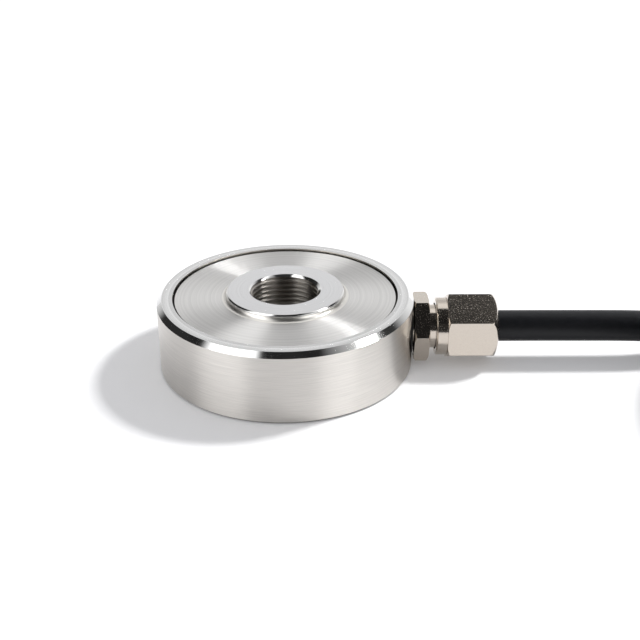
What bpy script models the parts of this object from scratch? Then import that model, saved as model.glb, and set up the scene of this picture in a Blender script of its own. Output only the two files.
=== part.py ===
"""Ring force sensor with a cable gland and its cable, in metres, +Z up.

The origin is on the ring's axis, in the plane that the sensor stands on. The gland and
the cable point along +X. The load enters on the boss round the threaded bore, bends the
thin web under the plate, and leaves through the outer ring into the surface below.
"""

import math

import bmesh
import bpy
from mathutils import Vector

MM = 0.001

# Fits and facets
SEAT_GAP = 0.3 * MM             # left between surfaces that touch, slide or screw together
RING_STEPS = 60                 # facets round the large turned pieces
GLAND_STEPS = 32                # facets round the gland's pieces
FILLET_STEPS = 3

# Outer ring
BODY_DIAMETER = 50.0 * MM
RIM_WIDTH = 3.05 * MM           # top of the ring, with its chamfer
TOP_CHAMFER = 0.95 * MM
BASE_CHAMFER = 0.4 * MM
LEDGE_WIDTH = 2.1 * MM          # carries the edge of the measuring body
PORT_LAND = 0.62 * MM           # metal between the cable port and the ledge above it

# Measuring body
PLATE_GROOVE = 0.43 * MM        # open groove between the plate and the rim
PLATE_RECESS = 0.43 * MM        # plate below the rim
WEB_THICKNESS = 1.6 * MM        # the part that bends
FLANGE_LIP = 0.7 * MM           # edge of the plate below the web
WEB_FILLET = 0.6 * MM
BOSS_DIAMETER = 23.0 * MM
BOSS_RISE = 1.28 * MM           # boss above the plate
BOSS_BEVEL = 0.25 * MM
BOSS_FILLET = 1.0 * MM
BORE_DIAMETER = 12.92 * MM      # crests of the M14 x 1 thread
BORE_CHAMFER = 0.6 * MM
HUB_WALL = 3.54 * MM
HUB_RELIEF = 0.35 * MM          # hub above the surface below, so that the web can bend
HUB_CHAMFER = 0.3 * MM

# Base cover and its seal
COVER_RECESS = 0.4 * MM
COVER_THICKNESS = 1.2 * MM
COVER_LEDGE = 1.3 * MM
COVER_CHAMFER = 0.2 * MM
HUB_SEAL_WIDTH = 0.8 * MM

# Terminal board, strain gauges and their wires
BOARD_LEDGE = 1.0 * MM
BOARD_THICKNESS = 0.8 * MM
BOARD_CLEARANCE = 0.6 * MM      # board above the cover's seat
BOARD_HUB_CLEARANCE = 1.0 * MM
GAUGE_ANGLES = (45, 135, 225, 315)
GAUGE_MARGIN = 0.3 * MM         # round each gauge on the web
GAUGE_WIDTH = 2.6 * MM
GAUGE_THICKNESS = 0.25 * MM
GAUGE_CORNER = 0.4 * MM
GAUGE_WIRE_DIAMETER = 0.5 * MM
GAUGE_WIRE_BOW = 0.8 * MM       # slack of a gauge's wire, along the ring
CORE_DIAMETER = 1.2 * MM

# Cable gland
HEX_STANDOFF = 0.1 * MM         # hexagon clear of the ring's side
GASKET_THICKNESS = 0.5 * MM
GASKET_WIDTH = 1.6 * MM
SPIGOT_WALL = 1.44 * MM
GLAND_HEX_LENGTH = 2.9 * MM
GLAND_HEX_TURN = math.radians(23.2)
GLAND_SHOULDER = 0.9 * MM       # cable stop inside the hexagon
HEX_CHAMFER = 0.6 * MM
NECK_WALL = 0.9 * MM
NECK_GAP = 1.4 * MM             # neck that shows between the hexagon and the nut
NECK_CONE = 0.6 * MM
NUT_WALL = 1.4 * MM             # at the flats, which are 12 mm apart
COLLAR_WALL = 1.1 * MM
COLLAR_LENGTH = 2.2 * MM
COLLAR_CHAMFER = 0.25 * MM
NUT_HEX_LENGTH = 10.0 * MM
NUT_DOME_LENGTH = 1.9 * MM
NUT_DOME_STEPS = 5
NUT_END_WALL = 1.2 * MM
GROMMET_LENGTH = 3.0 * MM
PRESSURE_RING_THICKNESS = 0.8 * MM
FLOOR_CLEARANCE = 0.12 * MM     # nut's lowest corner above the surface

# Cable, coil and bare end
CABLE_DIAMETER = 6.2 * MM
LEAD_IN_START = 70.0 * MM       # the cable runs straight along X up to here
LEAD_IN_RADIUS = 38.0 * MM      # then it bends sideways, until it lies along the coil's turns
LEAD_IN_TURN = 42.0             # degrees of that bend
COIL_MEAN_RADIUS = 37.5 * MM
TURN_GAP = 0.3 * MM
TIE_THICKNESS = 1.2 * MM
TIE_WIDTH = 6.0 * MM
TIE_ANGLES = (75, 194, 335)     # clockwise from +Y, as the cable is wound
SLEEVE_WALL = 0.2 * MM
SLEEVE_LENGTH = 14.0 * MM
BARE_LEAD_LENGTH = 34.0 * MM
TINNED_LENGTH = 6.0 * MM
TINNED_DIAMETER = 0.8 * MM
JACKET_END_ANGLE = 218.0        # where the jacket ends in the top layer, clockwise from +Y

# Radii worked out from the sizes above
BODY_RADIUS = BODY_DIAMETER / 2
PLATE_SEAT_RADIUS = BODY_RADIUS - RIM_WIDTH
PLATE_RADIUS = PLATE_SEAT_RADIUS - PLATE_GROOVE
CHAMBER_RADIUS = PLATE_RADIUS - LEDGE_WIDTH
BOARD_SEAT_RADIUS = CHAMBER_RADIUS + BOARD_LEDGE
COVER_SEAT_RADIUS = BOARD_SEAT_RADIUS + COVER_LEDGE
BORE_RADIUS = BORE_DIAMETER / 2
HUB_RADIUS = BORE_RADIUS + HUB_WALL
BOSS_RADIUS = BOSS_DIAMETER / 2
HUB_SEAL_RADIUS = HUB_RADIUS + SEAT_GAP + HUB_SEAL_WIDTH
CABLE_RADIUS = CABLE_DIAMETER / 2
CORE_PITCH = CORE_DIAMETER + SEAT_GAP
CORE_BUNDLE_RADIUS = CORE_PITCH / math.sqrt(2) + CORE_DIAMETER / 2
SPIGOT_BORE_RADIUS = CORE_BUNDLE_RADIUS + SEAT_GAP
SPIGOT_RADIUS = SPIGOT_BORE_RADIUS + SPIGOT_WALL
PORT_RADIUS = SPIGOT_RADIUS + SEAT_GAP
GASKET_RADIUS = PORT_RADIUS + GASKET_WIDTH
POCKET_RADIUS = GASKET_RADIUS + SEAT_GAP
GLAND_BORE_RADIUS = CABLE_RADIUS + SEAT_GAP
NECK_RADIUS = GLAND_BORE_RADIUS + NECK_WALL
NUT_BORE_RADIUS = NECK_RADIUS + SEAT_GAP
COLLAR_RADIUS = NUT_BORE_RADIUS + COLLAR_WALL
HEX_RADIUS = (NUT_BORE_RADIUS + NUT_WALL) / math.cos(math.pi / 6)   # to the corners

# Heights, stacked up from the surface: the gland first, then the ledge and plate above its port
GLAND_HEIGHT = HEX_RADIUS + FLOOR_CLEARANCE
LEDGE_HEIGHT = GLAND_HEIGHT + PORT_RADIUS + PORT_LAND
PLATE_HEIGHT = LEDGE_HEIGHT + SEAT_GAP + FLANGE_LIP + WEB_THICKNESS
RIM_HEIGHT = PLATE_HEIGHT + PLATE_RECESS
BOSS_HEIGHT = PLATE_HEIGHT + BOSS_RISE
WEB_UNDERSIDE = PLATE_HEIGHT - WEB_THICKNESS
COVER_TOP = COVER_RECESS + COVER_THICKNESS
COVER_SEAT_HEIGHT = COVER_TOP + SEAT_GAP
BOARD_TOP = COVER_SEAT_HEIGHT + BOARD_CLEARANCE + BOARD_THICKNESS
BOARD_SEAT_HEIGHT = BOARD_TOP + SEAT_GAP

# Stations along the gland's axis, outwards from the ring's axis
HEX_START = BODY_RADIUS + HEX_STANDOFF
POCKET_FLOOR = HEX_START - GASKET_THICKNESS - 2 * SEAT_GAP
HEX_END = HEX_START + GLAND_HEX_LENGTH
COLLAR_START = HEX_END + NECK_GAP
NUT_HEX_START = COLLAR_START + COLLAR_LENGTH
NUT_END = NUT_HEX_START + NUT_HEX_LENGTH
NUT_SHOULDER = NUT_END - NUT_END_WALL
PRESSURE_RING_START = NUT_SHOULDER - SEAT_GAP - PRESSURE_RING_THICKNESS
GROMMET_END = PRESSURE_RING_START - SEAT_GAP
GROMMET_START = GROMMET_END - GROMMET_LENGTH
NECK_END = GROMMET_START + NECK_CONE - math.sqrt(2) * SEAT_GAP
CABLE_STOP = HEX_START + GLAND_SHOULDER
JACKET_START = CABLE_STOP + SEAT_GAP

# Coil
TURN_SPACING = CABLE_DIAMETER + TURN_GAP
COIL_BASE = TIE_THICKNESS + SEAT_GAP
COIL_HALF_SECTION = TURN_SPACING + CABLE_RADIUS
COIL_OUTER_TURN = COIL_MEAN_RADIUS + TURN_SPACING
COIL_INNER_TURN = COIL_MEAN_RADIUS - TURN_SPACING
COIL_OUTSIDE = COIL_MEAN_RADIUS + COIL_HALF_SECTION
COIL_LAYERS = [COIL_BASE + CABLE_RADIUS + layer * TURN_SPACING for layer in range(3)]
SLEEVE_RADIUS = CABLE_RADIUS + SLEEVE_WALL
LEAD_IN_LENGTH = LEAD_IN_RADIUS * math.radians(LEAD_IN_TURN)
CENTRES_APART = LEAD_IN_RADIUS + COIL_OUTER_TURN    # from the lead-in bend's centre to the coil's
COIL_X = LEAD_IN_START + CENTRES_APART * math.sin(math.radians(LEAD_IN_TURN))
COIL_Y = LEAD_IN_RADIUS - CENTRES_APART * math.cos(math.radians(LEAD_IN_TURN))

# The cable's own line from its stop in the gland to the coil's first turn: how far it has run
# from the ring's axis, and its height
CABLE_ROUTE = (
    (JACKET_START, GLAND_HEIGHT),
    (NUT_END, GLAND_HEIGHT),
    (LEAD_IN_START - 14.0 * MM, GLAND_HEIGHT - 0.03 * MM),
    (LEAD_IN_START, GLAND_HEIGHT - 0.2 * MM),
    (LEAD_IN_START + 0.35 * LEAD_IN_LENGTH, 6.0 * MM),
    (LEAD_IN_START + 0.7 * LEAD_IN_LENGTH, 4.95 * MM),
    (LEAD_IN_START + LEAD_IN_LENGTH, COIL_LAYERS[0]),
)

# Each core of the cable: its colour, and its place in the bundle seen from the cable's end
CORES = {
    "red": ((0.55, 0.02, 0.02), (-1, 1)),
    "black": ((0.02, 0.02, 0.022), (1, 1)),
    "green": ((0.02, 0.28, 0.06), (-1, -1)),
    "white": ((0.75, 0.75, 0.72), (1, -1)),
}


# Scene and helpers
def clear_scene():
    for obj in list(bpy.data.objects):
        bpy.data.objects.remove(obj)


def new_collection(name):
    collection = bpy.data.collections.new(name)
    bpy.context.scene.collection.children.link(collection)
    return collection


def new_material(name, color, roughness, metallic=0.0):
    material = bpy.data.materials.new(name)
    material.use_nodes = True
    shader = material.node_tree.nodes["Principled BSDF"]
    shader.inputs["Base Color"].default_value = (*color, 1.0)
    shader.inputs["Roughness"].default_value = roughness
    shader.inputs["Metallic"].default_value = metallic
    material.diffuse_color = (*color, 1.0)
    return material


def new_empty(name, location, rotation=(0, 0, 0)):
    empty = bpy.data.objects.new(name, None)
    empty.location = location
    empty.rotation_euler = rotation
    empty.empty_display_size = 5 * MM
    SENSOR.objects.link(empty)
    return empty


def new_object(name, data, material, parent=None):
    obj = bpy.data.objects.new(name, data)
    obj.parent = parent
    if material:
        data.materials.append(material)
        SENSOR.objects.link(obj)
    else:
        obj.hide_render = True
        obj.display_type = "WIRE"
        CUTTERS.objects.link(obj)
    return obj


def arc(center, radius, start, end, steps):
    """Points on a round corner in a turned outline, with its angles in degrees."""
    angles = [math.radians(start + (end - start) * i / steps) for i in range(steps + 1)]
    return [(center[0] + radius * math.cos(a), center[1] + radius * math.sin(a)) for a in angles]


def turned(name, outline, steps, material=None, parent=None):
    """A closed outline of (radius, height) points, down its outer side first, spun about Z."""
    mesh = bpy.data.meshes.new(name)
    edges = [(i, (i + 1) % len(outline)) for i in range(len(outline))]
    mesh.from_pydata([(radius, 0, height) for radius, height in outline], edges, [])
    obj = new_object(name, mesh, material, parent)
    screw = obj.modifiers.new("turn", "SCREW")
    screw.steps = screw.render_steps = steps
    screw.use_merge_vertices = True
    screw.merge_threshold = 0.001 * MM
    return obj


def rod_cutter(name, radius, start, end, steps, parent):
    """A solid cylinder on the parent's Z axis, for drilling."""
    mesh = bpy.data.meshes.new(name)
    shape = bmesh.new()
    bmesh.ops.create_cone(
        shape, cap_ends=True, segments=steps, radius1=radius, radius2=radius, depth=end - start
    )
    shape.to_mesh(mesh)
    shape.free()
    obj = new_object(name, mesh, None, parent)
    obj.location.z = (start + end) / 2
    return obj


def hex_cutter(name, start, end, turn, parent):
    """A six-sided tube that mills the flats off a turned blank."""
    outside = HEX_RADIUS * 1.5
    outline = [(outside, end), (outside, start), (HEX_RADIUS, start), (HEX_RADIUS, end)]
    obj = turned(name, outline, 6, None, parent)
    obj.rotation_euler.z = turn
    return obj


def cut(obj, cutter):
    modifier = obj.modifiers.new(cutter.name, "BOOLEAN")
    modifier.operation = "DIFFERENCE"
    modifier.object = cutter


def finish(obj):
    """Applies the modifiers and shades the round faces smooth."""
    bpy.context.view_layer.update()
    graph = bpy.context.evaluated_depsgraph_get()
    mesh = bpy.data.meshes.new_from_object(obj.evaluated_get(graph))
    obj.modifiers.clear()
    obj.data = mesh
    mesh.shade_smooth()
    mesh.set_sharp_from_angle(angle=math.radians(30))
    return obj


def flat_outline(name, outlines, thickness, material=None, parent=None):
    """A flat piece in its own XY plane, from closed outlines: the first, less the others."""
    curve = bpy.data.curves.new(name, "CURVE")
    curve.dimensions = "2D"
    curve.fill_mode = "BOTH"
    curve.extrude = thickness / 2
    for outline in outlines:
        spline = curve.splines.new("POLY")
        spline.points.add(len(outline) - 1)
        for point, (x, y) in zip(spline.points, outline):
            point.co = (x, y, 0, 1)
        spline.use_cyclic_u = True
    return new_object(name, curve, material, parent)


def meshed(obj):
    """The same piece as a welded mesh, which a Boolean can use."""
    bpy.context.view_layer.update()
    graph = bpy.context.evaluated_depsgraph_get()
    mesh = bpy.data.meshes.new_from_object(obj.evaluated_get(graph))
    shape = bmesh.new()
    shape.from_mesh(mesh)
    bmesh.ops.remove_doubles(shape, verts=shape.verts, dist=0.001 * MM)
    shape.to_mesh(mesh)
    shape.free()
    name, place = obj.name, obj.matrix_world.copy()
    bpy.data.objects.remove(obj)
    made = new_object(name, mesh, None)
    made.matrix_world = place
    return made


def smooth_route(points, spacing):
    """Evenly spaced points on a smooth curve through the given ones."""
    knots = [Vector(point) for point in points]
    knots = [2 * knots[0] - knots[1], *knots, 2 * knots[-1] - knots[-2]]
    fine = []
    for a, b, c, d in zip(knots, knots[1:], knots[2:], knots[3:]):
        for t in (i / 40 for i in range(40)):
            bend = (2 * a - 5 * b + 4 * c - d) * t**2 + (3 * b - a - 3 * c + d) * t**3
            fine.append(b + ((c - a) * t + bend) / 2)
    fine.append(knots[-2])
    lengths = [0.0]
    for before, after in zip(fine, fine[1:]):
        lengths.append(lengths[-1] + (after - before).length)
    count = max(2, round(lengths[-1] / spacing))
    route = []
    for i in range(count + 1):
        wanted = lengths[-1] * i / count
        after = next((k for k, at in enumerate(lengths) if at >= wanted), len(fine) - 1)
        before = max(after - 1, 0)
        span = lengths[after] - lengths[before]
        share = (wanted - lengths[before]) / span if span else 0.0
        route.append(fine[before].lerp(fine[after], share))
    return route


def wire(name, route, diameter, material, bevel_resolution=2, parent=None):
    """A round wire or cable along the points of a route."""
    curve = bpy.data.curves.new(name, "CURVE")
    curve.dimensions = "3D"
    curve.bevel_depth = diameter / 2
    curve.bevel_resolution = bevel_resolution
    curve.use_fill_caps = True
    spline = curve.splines.new("POLY")
    spline.points.add(len(route) - 1)
    for point, place in zip(spline.points, route):
        point.co = (*place, 1)
    return new_object(name, curve, material, parent)


# Ring body
def housing_ring(material, gland_axis):
    """The outer ring: rim, plate seat, ledge, gauge chamber, board seat and cover seat."""
    outline = [
        (BODY_RADIUS - TOP_CHAMFER, RIM_HEIGHT),
        (BODY_RADIUS, RIM_HEIGHT - TOP_CHAMFER),
        (BODY_RADIUS, BASE_CHAMFER),
        (BODY_RADIUS - BASE_CHAMFER, 0),
        (COVER_SEAT_RADIUS, 0),
        (COVER_SEAT_RADIUS, COVER_SEAT_HEIGHT),
        (BOARD_SEAT_RADIUS, COVER_SEAT_HEIGHT),
        (BOARD_SEAT_RADIUS, BOARD_SEAT_HEIGHT),
        (CHAMBER_RADIUS, BOARD_SEAT_HEIGHT),
        (CHAMBER_RADIUS, LEDGE_HEIGHT),
        (PLATE_SEAT_RADIUS, LEDGE_HEIGHT),
        (PLATE_SEAT_RADIUS, RIM_HEIGHT),
    ]
    ring = turned("housing_ring", outline, RING_STEPS, material)
    past = 1 * MM
    port = rod_cutter(
        "port_cutter", PORT_RADIUS, HUB_RADIUS, BODY_RADIUS + past, GLAND_STEPS, gland_axis
    )
    pocket = rod_cutter(
        "pocket_cutter", POCKET_RADIUS, POCKET_FLOOR, BODY_RADIUS + past, GLAND_STEPS, gland_axis
    )
    cut(ring, port)
    cut(ring, pocket)
    return finish(ring)


def measuring_body(material):
    """Boss, fillet, plate, web, flange and hub, turned from one bar round the bore."""
    boss_fillet = min(BOSS_FILLET, BOSS_RISE - BOSS_BEVEL)
    lip_fillet = min(WEB_FILLET, FLANGE_LIP)
    flange_base = WEB_UNDERSIDE - FLANGE_LIP
    outline = [
        (BOSS_RADIUS - BOSS_BEVEL, BOSS_HEIGHT),
        (BOSS_RADIUS, BOSS_HEIGHT - BOSS_BEVEL),
        *arc(
            (BOSS_RADIUS + boss_fillet, PLATE_HEIGHT + boss_fillet),
            boss_fillet, 180, 270, FILLET_STEPS + 1,
        ),
        (PLATE_RADIUS, PLATE_HEIGHT),
        (PLATE_RADIUS, flange_base),
        (CHAMBER_RADIUS, flange_base),
        *arc(
            (CHAMBER_RADIUS - lip_fillet, WEB_UNDERSIDE - lip_fillet),
            lip_fillet, 0, 90, FILLET_STEPS,
        ),
        *arc(
            (HUB_RADIUS + WEB_FILLET, WEB_UNDERSIDE - WEB_FILLET),
            WEB_FILLET, 90, 180, FILLET_STEPS,
        ),
        (HUB_RADIUS, HUB_RELIEF + HUB_CHAMFER),
        (HUB_RADIUS - HUB_CHAMFER, HUB_RELIEF),
        (BORE_RADIUS + BORE_CHAMFER, HUB_RELIEF),
        (BORE_RADIUS, HUB_RELIEF + BORE_CHAMFER),
        (BORE_RADIUS, BOSS_HEIGHT - BORE_CHAMFER),
        (BORE_RADIUS + BORE_CHAMFER, BOSS_HEIGHT),
    ]
    return finish(turned("measuring_body", outline, RING_STEPS, material))


def base_cover(material):
    outside = COVER_SEAT_RADIUS - SEAT_GAP
    inside = HUB_SEAL_RADIUS + SEAT_GAP
    outline = [
        (outside, COVER_TOP),
        (outside, COVER_RECESS + COVER_CHAMFER),
        (outside - COVER_CHAMFER, COVER_RECESS),
        (inside + COVER_CHAMFER, COVER_RECESS),
        (inside, COVER_RECESS + COVER_CHAMFER),
        (inside, COVER_TOP),
    ]
    return finish(turned("base_cover", outline, RING_STEPS, material))


def hub_seal(material):
    """The soft ring that closes the gap between the hub and the cover, and lets the hub move."""
    inside = HUB_RADIUS + SEAT_GAP
    outline = [
        (HUB_SEAL_RADIUS, COVER_TOP),
        (HUB_SEAL_RADIUS, COVER_RECESS),
        (inside, COVER_RECESS),
        (inside, COVER_TOP),
    ]
    return finish(turned("hub_seal", outline, GLAND_STEPS, material))


# Inside of the chamber
def terminal_board(material):
    outside = BOARD_SEAT_RADIUS - SEAT_GAP
    inside = HUB_RADIUS + BOARD_HUB_CLEARANCE
    bottom = BOARD_TOP - BOARD_THICKNESS
    outline = [(outside, BOARD_TOP), (outside, bottom), (inside, bottom), (inside, BOARD_TOP)]
    return finish(turned("terminal_board", outline, GLAND_STEPS, material))


def strain_gauge(name, radius, length, angle, material):
    """One foil gauge under the web, in line with the ring's radius."""
    mesh = bpy.data.meshes.new(name)
    shape = bmesh.new()
    bmesh.ops.create_cube(shape, size=1)
    bmesh.ops.scale(shape, vec=(length, GAUGE_WIDTH, GAUGE_THICKNESS), verts=shape.verts)
    upright = [e for e in shape.edges if abs(e.verts[0].co.z - e.verts[1].co.z) > 0]
    corner = min(GAUGE_CORNER, length / 4)
    bmesh.ops.bevel(shape, geom=upright, offset=corner, segments=2, profile=0.5, affect="EDGES")
    shape.to_mesh(mesh)
    shape.free()
    gauge = new_object(name, mesh, material)
    turn = math.radians(angle)
    height = WEB_UNDERSIDE - SEAT_GAP - GAUGE_THICKNESS / 2
    gauge.location = (radius * math.cos(turn), radius * math.sin(turn), height)
    gauge.rotation_euler.z = turn
    return gauge


def gauge_wire(name, radius, angle, side, material):
    """The wire from a gauge down to the board, bowed along the ring as slack."""
    turn = math.radians(angle)
    outwards = Vector((math.cos(turn), math.sin(turn), 0))
    along = Vector((-math.sin(turn), math.cos(turn), 0)) * side
    top = WEB_UNDERSIDE - 2 * SEAT_GAP - GAUGE_THICKNESS
    bottom = BOARD_TOP + SEAT_GAP
    shares = ((0, 1), (0.6, 0.7), (1, 0.4), (0.8, 0.15), (0.8, 0))
    points = [
        outwards * radius + along * GAUGE_WIRE_BOW * bow + Vector((0, 0, bottom + (top - bottom) * up))
        for bow, up in shares
    ]
    return wire(name, smooth_route(points, 1.6 * MM), GAUGE_WIRE_DIAMETER, material, 1)


def gauge_bridge(film, enamel):
    """Two gauges at each angle, one by the hub and one by the flange, each with its wire."""
    first = HUB_RADIUS + WEB_FILLET + GAUGE_MARGIN
    last = CHAMBER_RADIUS - WEB_FILLET - GAUGE_MARGIN
    length = (last - first - GAUGE_MARGIN) / 2
    places = {"inner": first + length / 2, "outer": last - length / 2}
    for number, angle in enumerate(GAUGE_ANGLES, 1):
        for row, radius in places.items():
            side = 1 if row == "inner" else -1
            strain_gauge(f"strain_gauge_{row}_{number}", radius, length, angle, film)
            gauge_wire(f"gauge_wire_{row}_{number}", radius, angle, side, enamel)


def inner_core(color, place, material):
    """One core from the end of the jacket, through the spigot and down to the board."""
    across = place[0] * CORE_PITCH / 2
    height = GLAND_HEIGHT + place[1] * CORE_PITCH / 2
    room = BOARD_SEAT_RADIUS - HUB_RADIUS
    landing = HUB_RADIUS + room * (0.42 if place[1] > 0 else 0.66)
    bottom = BOARD_TOP + SEAT_GAP
    drop = height - bottom
    points = [
        (CABLE_STOP, across, height),
        (BOARD_SEAT_RADIUS + 2 * MM, across, height),
        (BOARD_SEAT_RADIUS - 0.4 * MM, across, height),
        (landing + drop * 0.45, across * 1.3, height - drop * 0.12),
        (landing + drop * 0.1, across * 1.6, height - drop * 0.5),
        (landing, across * 1.6, bottom),
    ]
    return wire(f"inner_core_{color}", smooth_route(points, 1.5 * MM), CORE_DIAMETER, material)


# Cable gland, along its own axis
def gland_gasket(material, gland_axis):
    start = POCKET_FLOOR + SEAT_GAP
    end = start + GASKET_THICKNESS
    outline = [(GASKET_RADIUS, end), (GASKET_RADIUS, start), (PORT_RADIUS, start), (PORT_RADIUS, end)]
    return finish(turned("gland_gasket", outline, GLAND_STEPS, material, gland_axis))


def gland_body(material, gland_axis):
    """Spigot, hexagon and neck. The cable stops on the shoulder, and only its cores go on."""
    chamfer_length = HEX_CHAMFER * math.tan(math.pi / 6)
    spigot_end = BOARD_SEAT_RADIUS
    outline = [
        (NECK_RADIUS, NECK_END),
        (NECK_RADIUS, HEX_END),
        (HEX_RADIUS - HEX_CHAMFER, HEX_END),
        (HEX_RADIUS, HEX_END - chamfer_length),
        (HEX_RADIUS, HEX_START + chamfer_length),
        (HEX_RADIUS - HEX_CHAMFER, HEX_START),
        (SPIGOT_RADIUS, HEX_START),
        (SPIGOT_RADIUS, spigot_end),
        (SPIGOT_BORE_RADIUS, spigot_end),
        (SPIGOT_BORE_RADIUS, CABLE_STOP),
        (GLAND_BORE_RADIUS, CABLE_STOP),
        (GLAND_BORE_RADIUS, NECK_END - NECK_CONE),
        (GLAND_BORE_RADIUS + NECK_CONE, NECK_END),
    ]
    body = turned("gland_body", outline, GLAND_STEPS, material, gland_axis)
    cut(body, hex_cutter("gland_hex_cutter", HEX_START, HEX_END, GLAND_HEX_TURN, gland_axis))
    return finish(body)


def gland_grommet(material, gland_axis):
    """The soft sleeve that the nut squeezes onto the cable, with its nose in the neck's cone."""
    outline = [
        (NECK_RADIUS, GROMMET_END),
        (NECK_RADIUS, GROMMET_START + NECK_WALL),
        (GLAND_BORE_RADIUS, GROMMET_START),
        (GLAND_BORE_RADIUS, GROMMET_END),
    ]
    return finish(turned("gland_grommet", outline, GLAND_STEPS, material, gland_axis))


def gland_pressure_ring(material, gland_axis):
    start = PRESSURE_RING_START
    end = start + PRESSURE_RING_THICKNESS
    outline = [
        (NECK_RADIUS, end),
        (NECK_RADIUS, start),
        (GLAND_BORE_RADIUS, start),
        (GLAND_BORE_RADIUS, end),
    ]
    return finish(turned("gland_pressure_ring", outline, GLAND_STEPS, material, gland_axis))


def gland_nut(material, gland_axis):
    """A round collar and a hexagon whose corners run out in the turned dome at the cable's end."""
    chamfer_length = HEX_CHAMFER * math.tan(math.pi / 6)
    dome_rise = HEX_RADIUS - GLAND_BORE_RADIUS - SEAT_GAP
    dome_start = NUT_END - NUT_DOME_LENGTH
    dome = []
    for i in range(NUT_DOME_STEPS + 1):
        turn = math.pi / 2 * (1 - i / NUT_DOME_STEPS)
        radius = HEX_RADIUS - dome_rise * (1 - math.cos(turn))
        dome.append((radius, dome_start + NUT_DOME_LENGTH * math.sin(turn)))
    outline = [
        *dome,
        (HEX_RADIUS, NUT_HEX_START + chamfer_length),
        (HEX_RADIUS - HEX_CHAMFER, NUT_HEX_START),
        (COLLAR_RADIUS, NUT_HEX_START),
        (COLLAR_RADIUS, COLLAR_START + COLLAR_CHAMFER),
        (COLLAR_RADIUS - COLLAR_CHAMFER, COLLAR_START),
        (NUT_BORE_RADIUS, COLLAR_START),
        (NUT_BORE_RADIUS, NUT_SHOULDER),
        (GLAND_BORE_RADIUS, NUT_SHOULDER),
        (GLAND_BORE_RADIUS, NUT_END),
    ]
    nut = turned("gland_nut", outline, GLAND_STEPS, material, gland_axis)
    cut(nut, hex_cutter("nut_hex_cutter", NUT_HEX_START, NUT_END + 1 * MM, 0, gland_axis))
    return finish(nut)


# Cable, coil and bare end
def on_lead_in(run, height):
    """A point of the cable on its way to the coil, by how far it has run from the ring's axis."""
    turn = max(0, run - LEAD_IN_START) / LEAD_IN_RADIUS
    x = min(run, LEAD_IN_START) + LEAD_IN_RADIUS * math.sin(turn)
    return Vector((x, LEAD_IN_RADIUS * (1 - math.cos(turn)), height))


def cable_run(material):
    """The cable from its stop in the gland to where it touches the coil's side."""
    clear = COIL_OUTSIDE + SEAT_GAP
    beside = LEAD_IN_RADIUS + CABLE_RADIUS
    before = math.acos((CENTRES_APART**2 + beside**2 - clear**2) / (2 * CENTRES_APART * beside))
    last = LEAD_IN_START + LEAD_IN_LENGTH - before * LEAD_IN_RADIUS
    route = smooth_route([(run, 0, height) for run, height in CABLE_ROUTE], 2 * MM)
    kept = [point for point in route if point.x < last - 1 * MM]
    step = route[len(kept)] - kept[-1]
    kept.append(kept[-1] + step * ((last - kept[-1].x) / step.x))
    spaced = [kept[0], *kept[3:-2:3], kept[-1]]
    return wire("cable_run", [on_lead_in(point.x, point.z) for point in spaced], CABLE_DIAMETER, material, 4)


def on_coil(angle, radius, height):
    """A point by its angle clockwise from +Y, seen from the coil's own centre."""
    turn = math.radians(angle)
    return Vector((radius * math.sin(turn), radius * math.cos(turn), height))


def cable_coil(material, coil_centre):
    """The wound cable as one ring, less the end of the top inner turn, where the leads lie."""
    corner = CABLE_RADIUS
    middle = COIL_BASE + COIL_HALF_SECTION
    reach = COIL_HALF_SECTION - corner
    corners = (
        (1, 1, 90), (1, -1, 0), (-1, -1, -90), (-1, 1, -180),
    )
    outline = []
    for right, up, start in corners:
        center = (COIL_MEAN_RADIUS + right * reach, middle + up * reach)
        outline += arc(center, corner, start, start - 90, 2)
    coil = turned("cable_coil", outline, 40, material, coil_centre)
    past = 2 * MM
    inside = COIL_INNER_TURN - CABLE_RADIUS - past
    outside = COIL_MEAN_RADIUS - CABLE_RADIUS
    floor = COIL_LAYERS[1] + CABLE_RADIUS
    top = COIL_BASE + 2 * COIL_HALF_SECTION + past
    start = JACKET_END_ANGLE - math.degrees(SEAT_GAP / COIL_INNER_TURN)
    end = lead_angle(SLEEVE_LENGTH + BARE_LEAD_LENGTH + TINNED_LENGTH + 3 * MM)
    steps = 12
    angles = [start + (end - start) * i / steps for i in range(steps + 1)]
    outline = [on_coil(a, outside, 0).xy for a in angles]
    outline += [on_coil(a, inside, 0).xy for a in reversed(angles)]
    notch = flat_outline("coil_end_cutter", [outline], top - floor, None, coil_centre)
    notch.location.z = (top + floor) / 2
    cut(coil, meshed(notch))
    return finish(coil)


def lead_angle(length):
    """Where a point of the cable's bare end is, from its length past the end of the jacket."""
    return JACKET_END_ANGLE + math.degrees(length / COIL_INNER_TURN)


def end_sleeve(material, coil_centre):
    height = COIL_LAYERS[2]
    lengths = [SLEEVE_LENGTH * i / 4 for i in range(5)]
    route = [on_coil(lead_angle(length), COIL_INNER_TURN, height) for length in lengths]
    return wire("end_sleeve", route, 2 * SLEEVE_RADIUS, material, 4, coil_centre)


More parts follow.
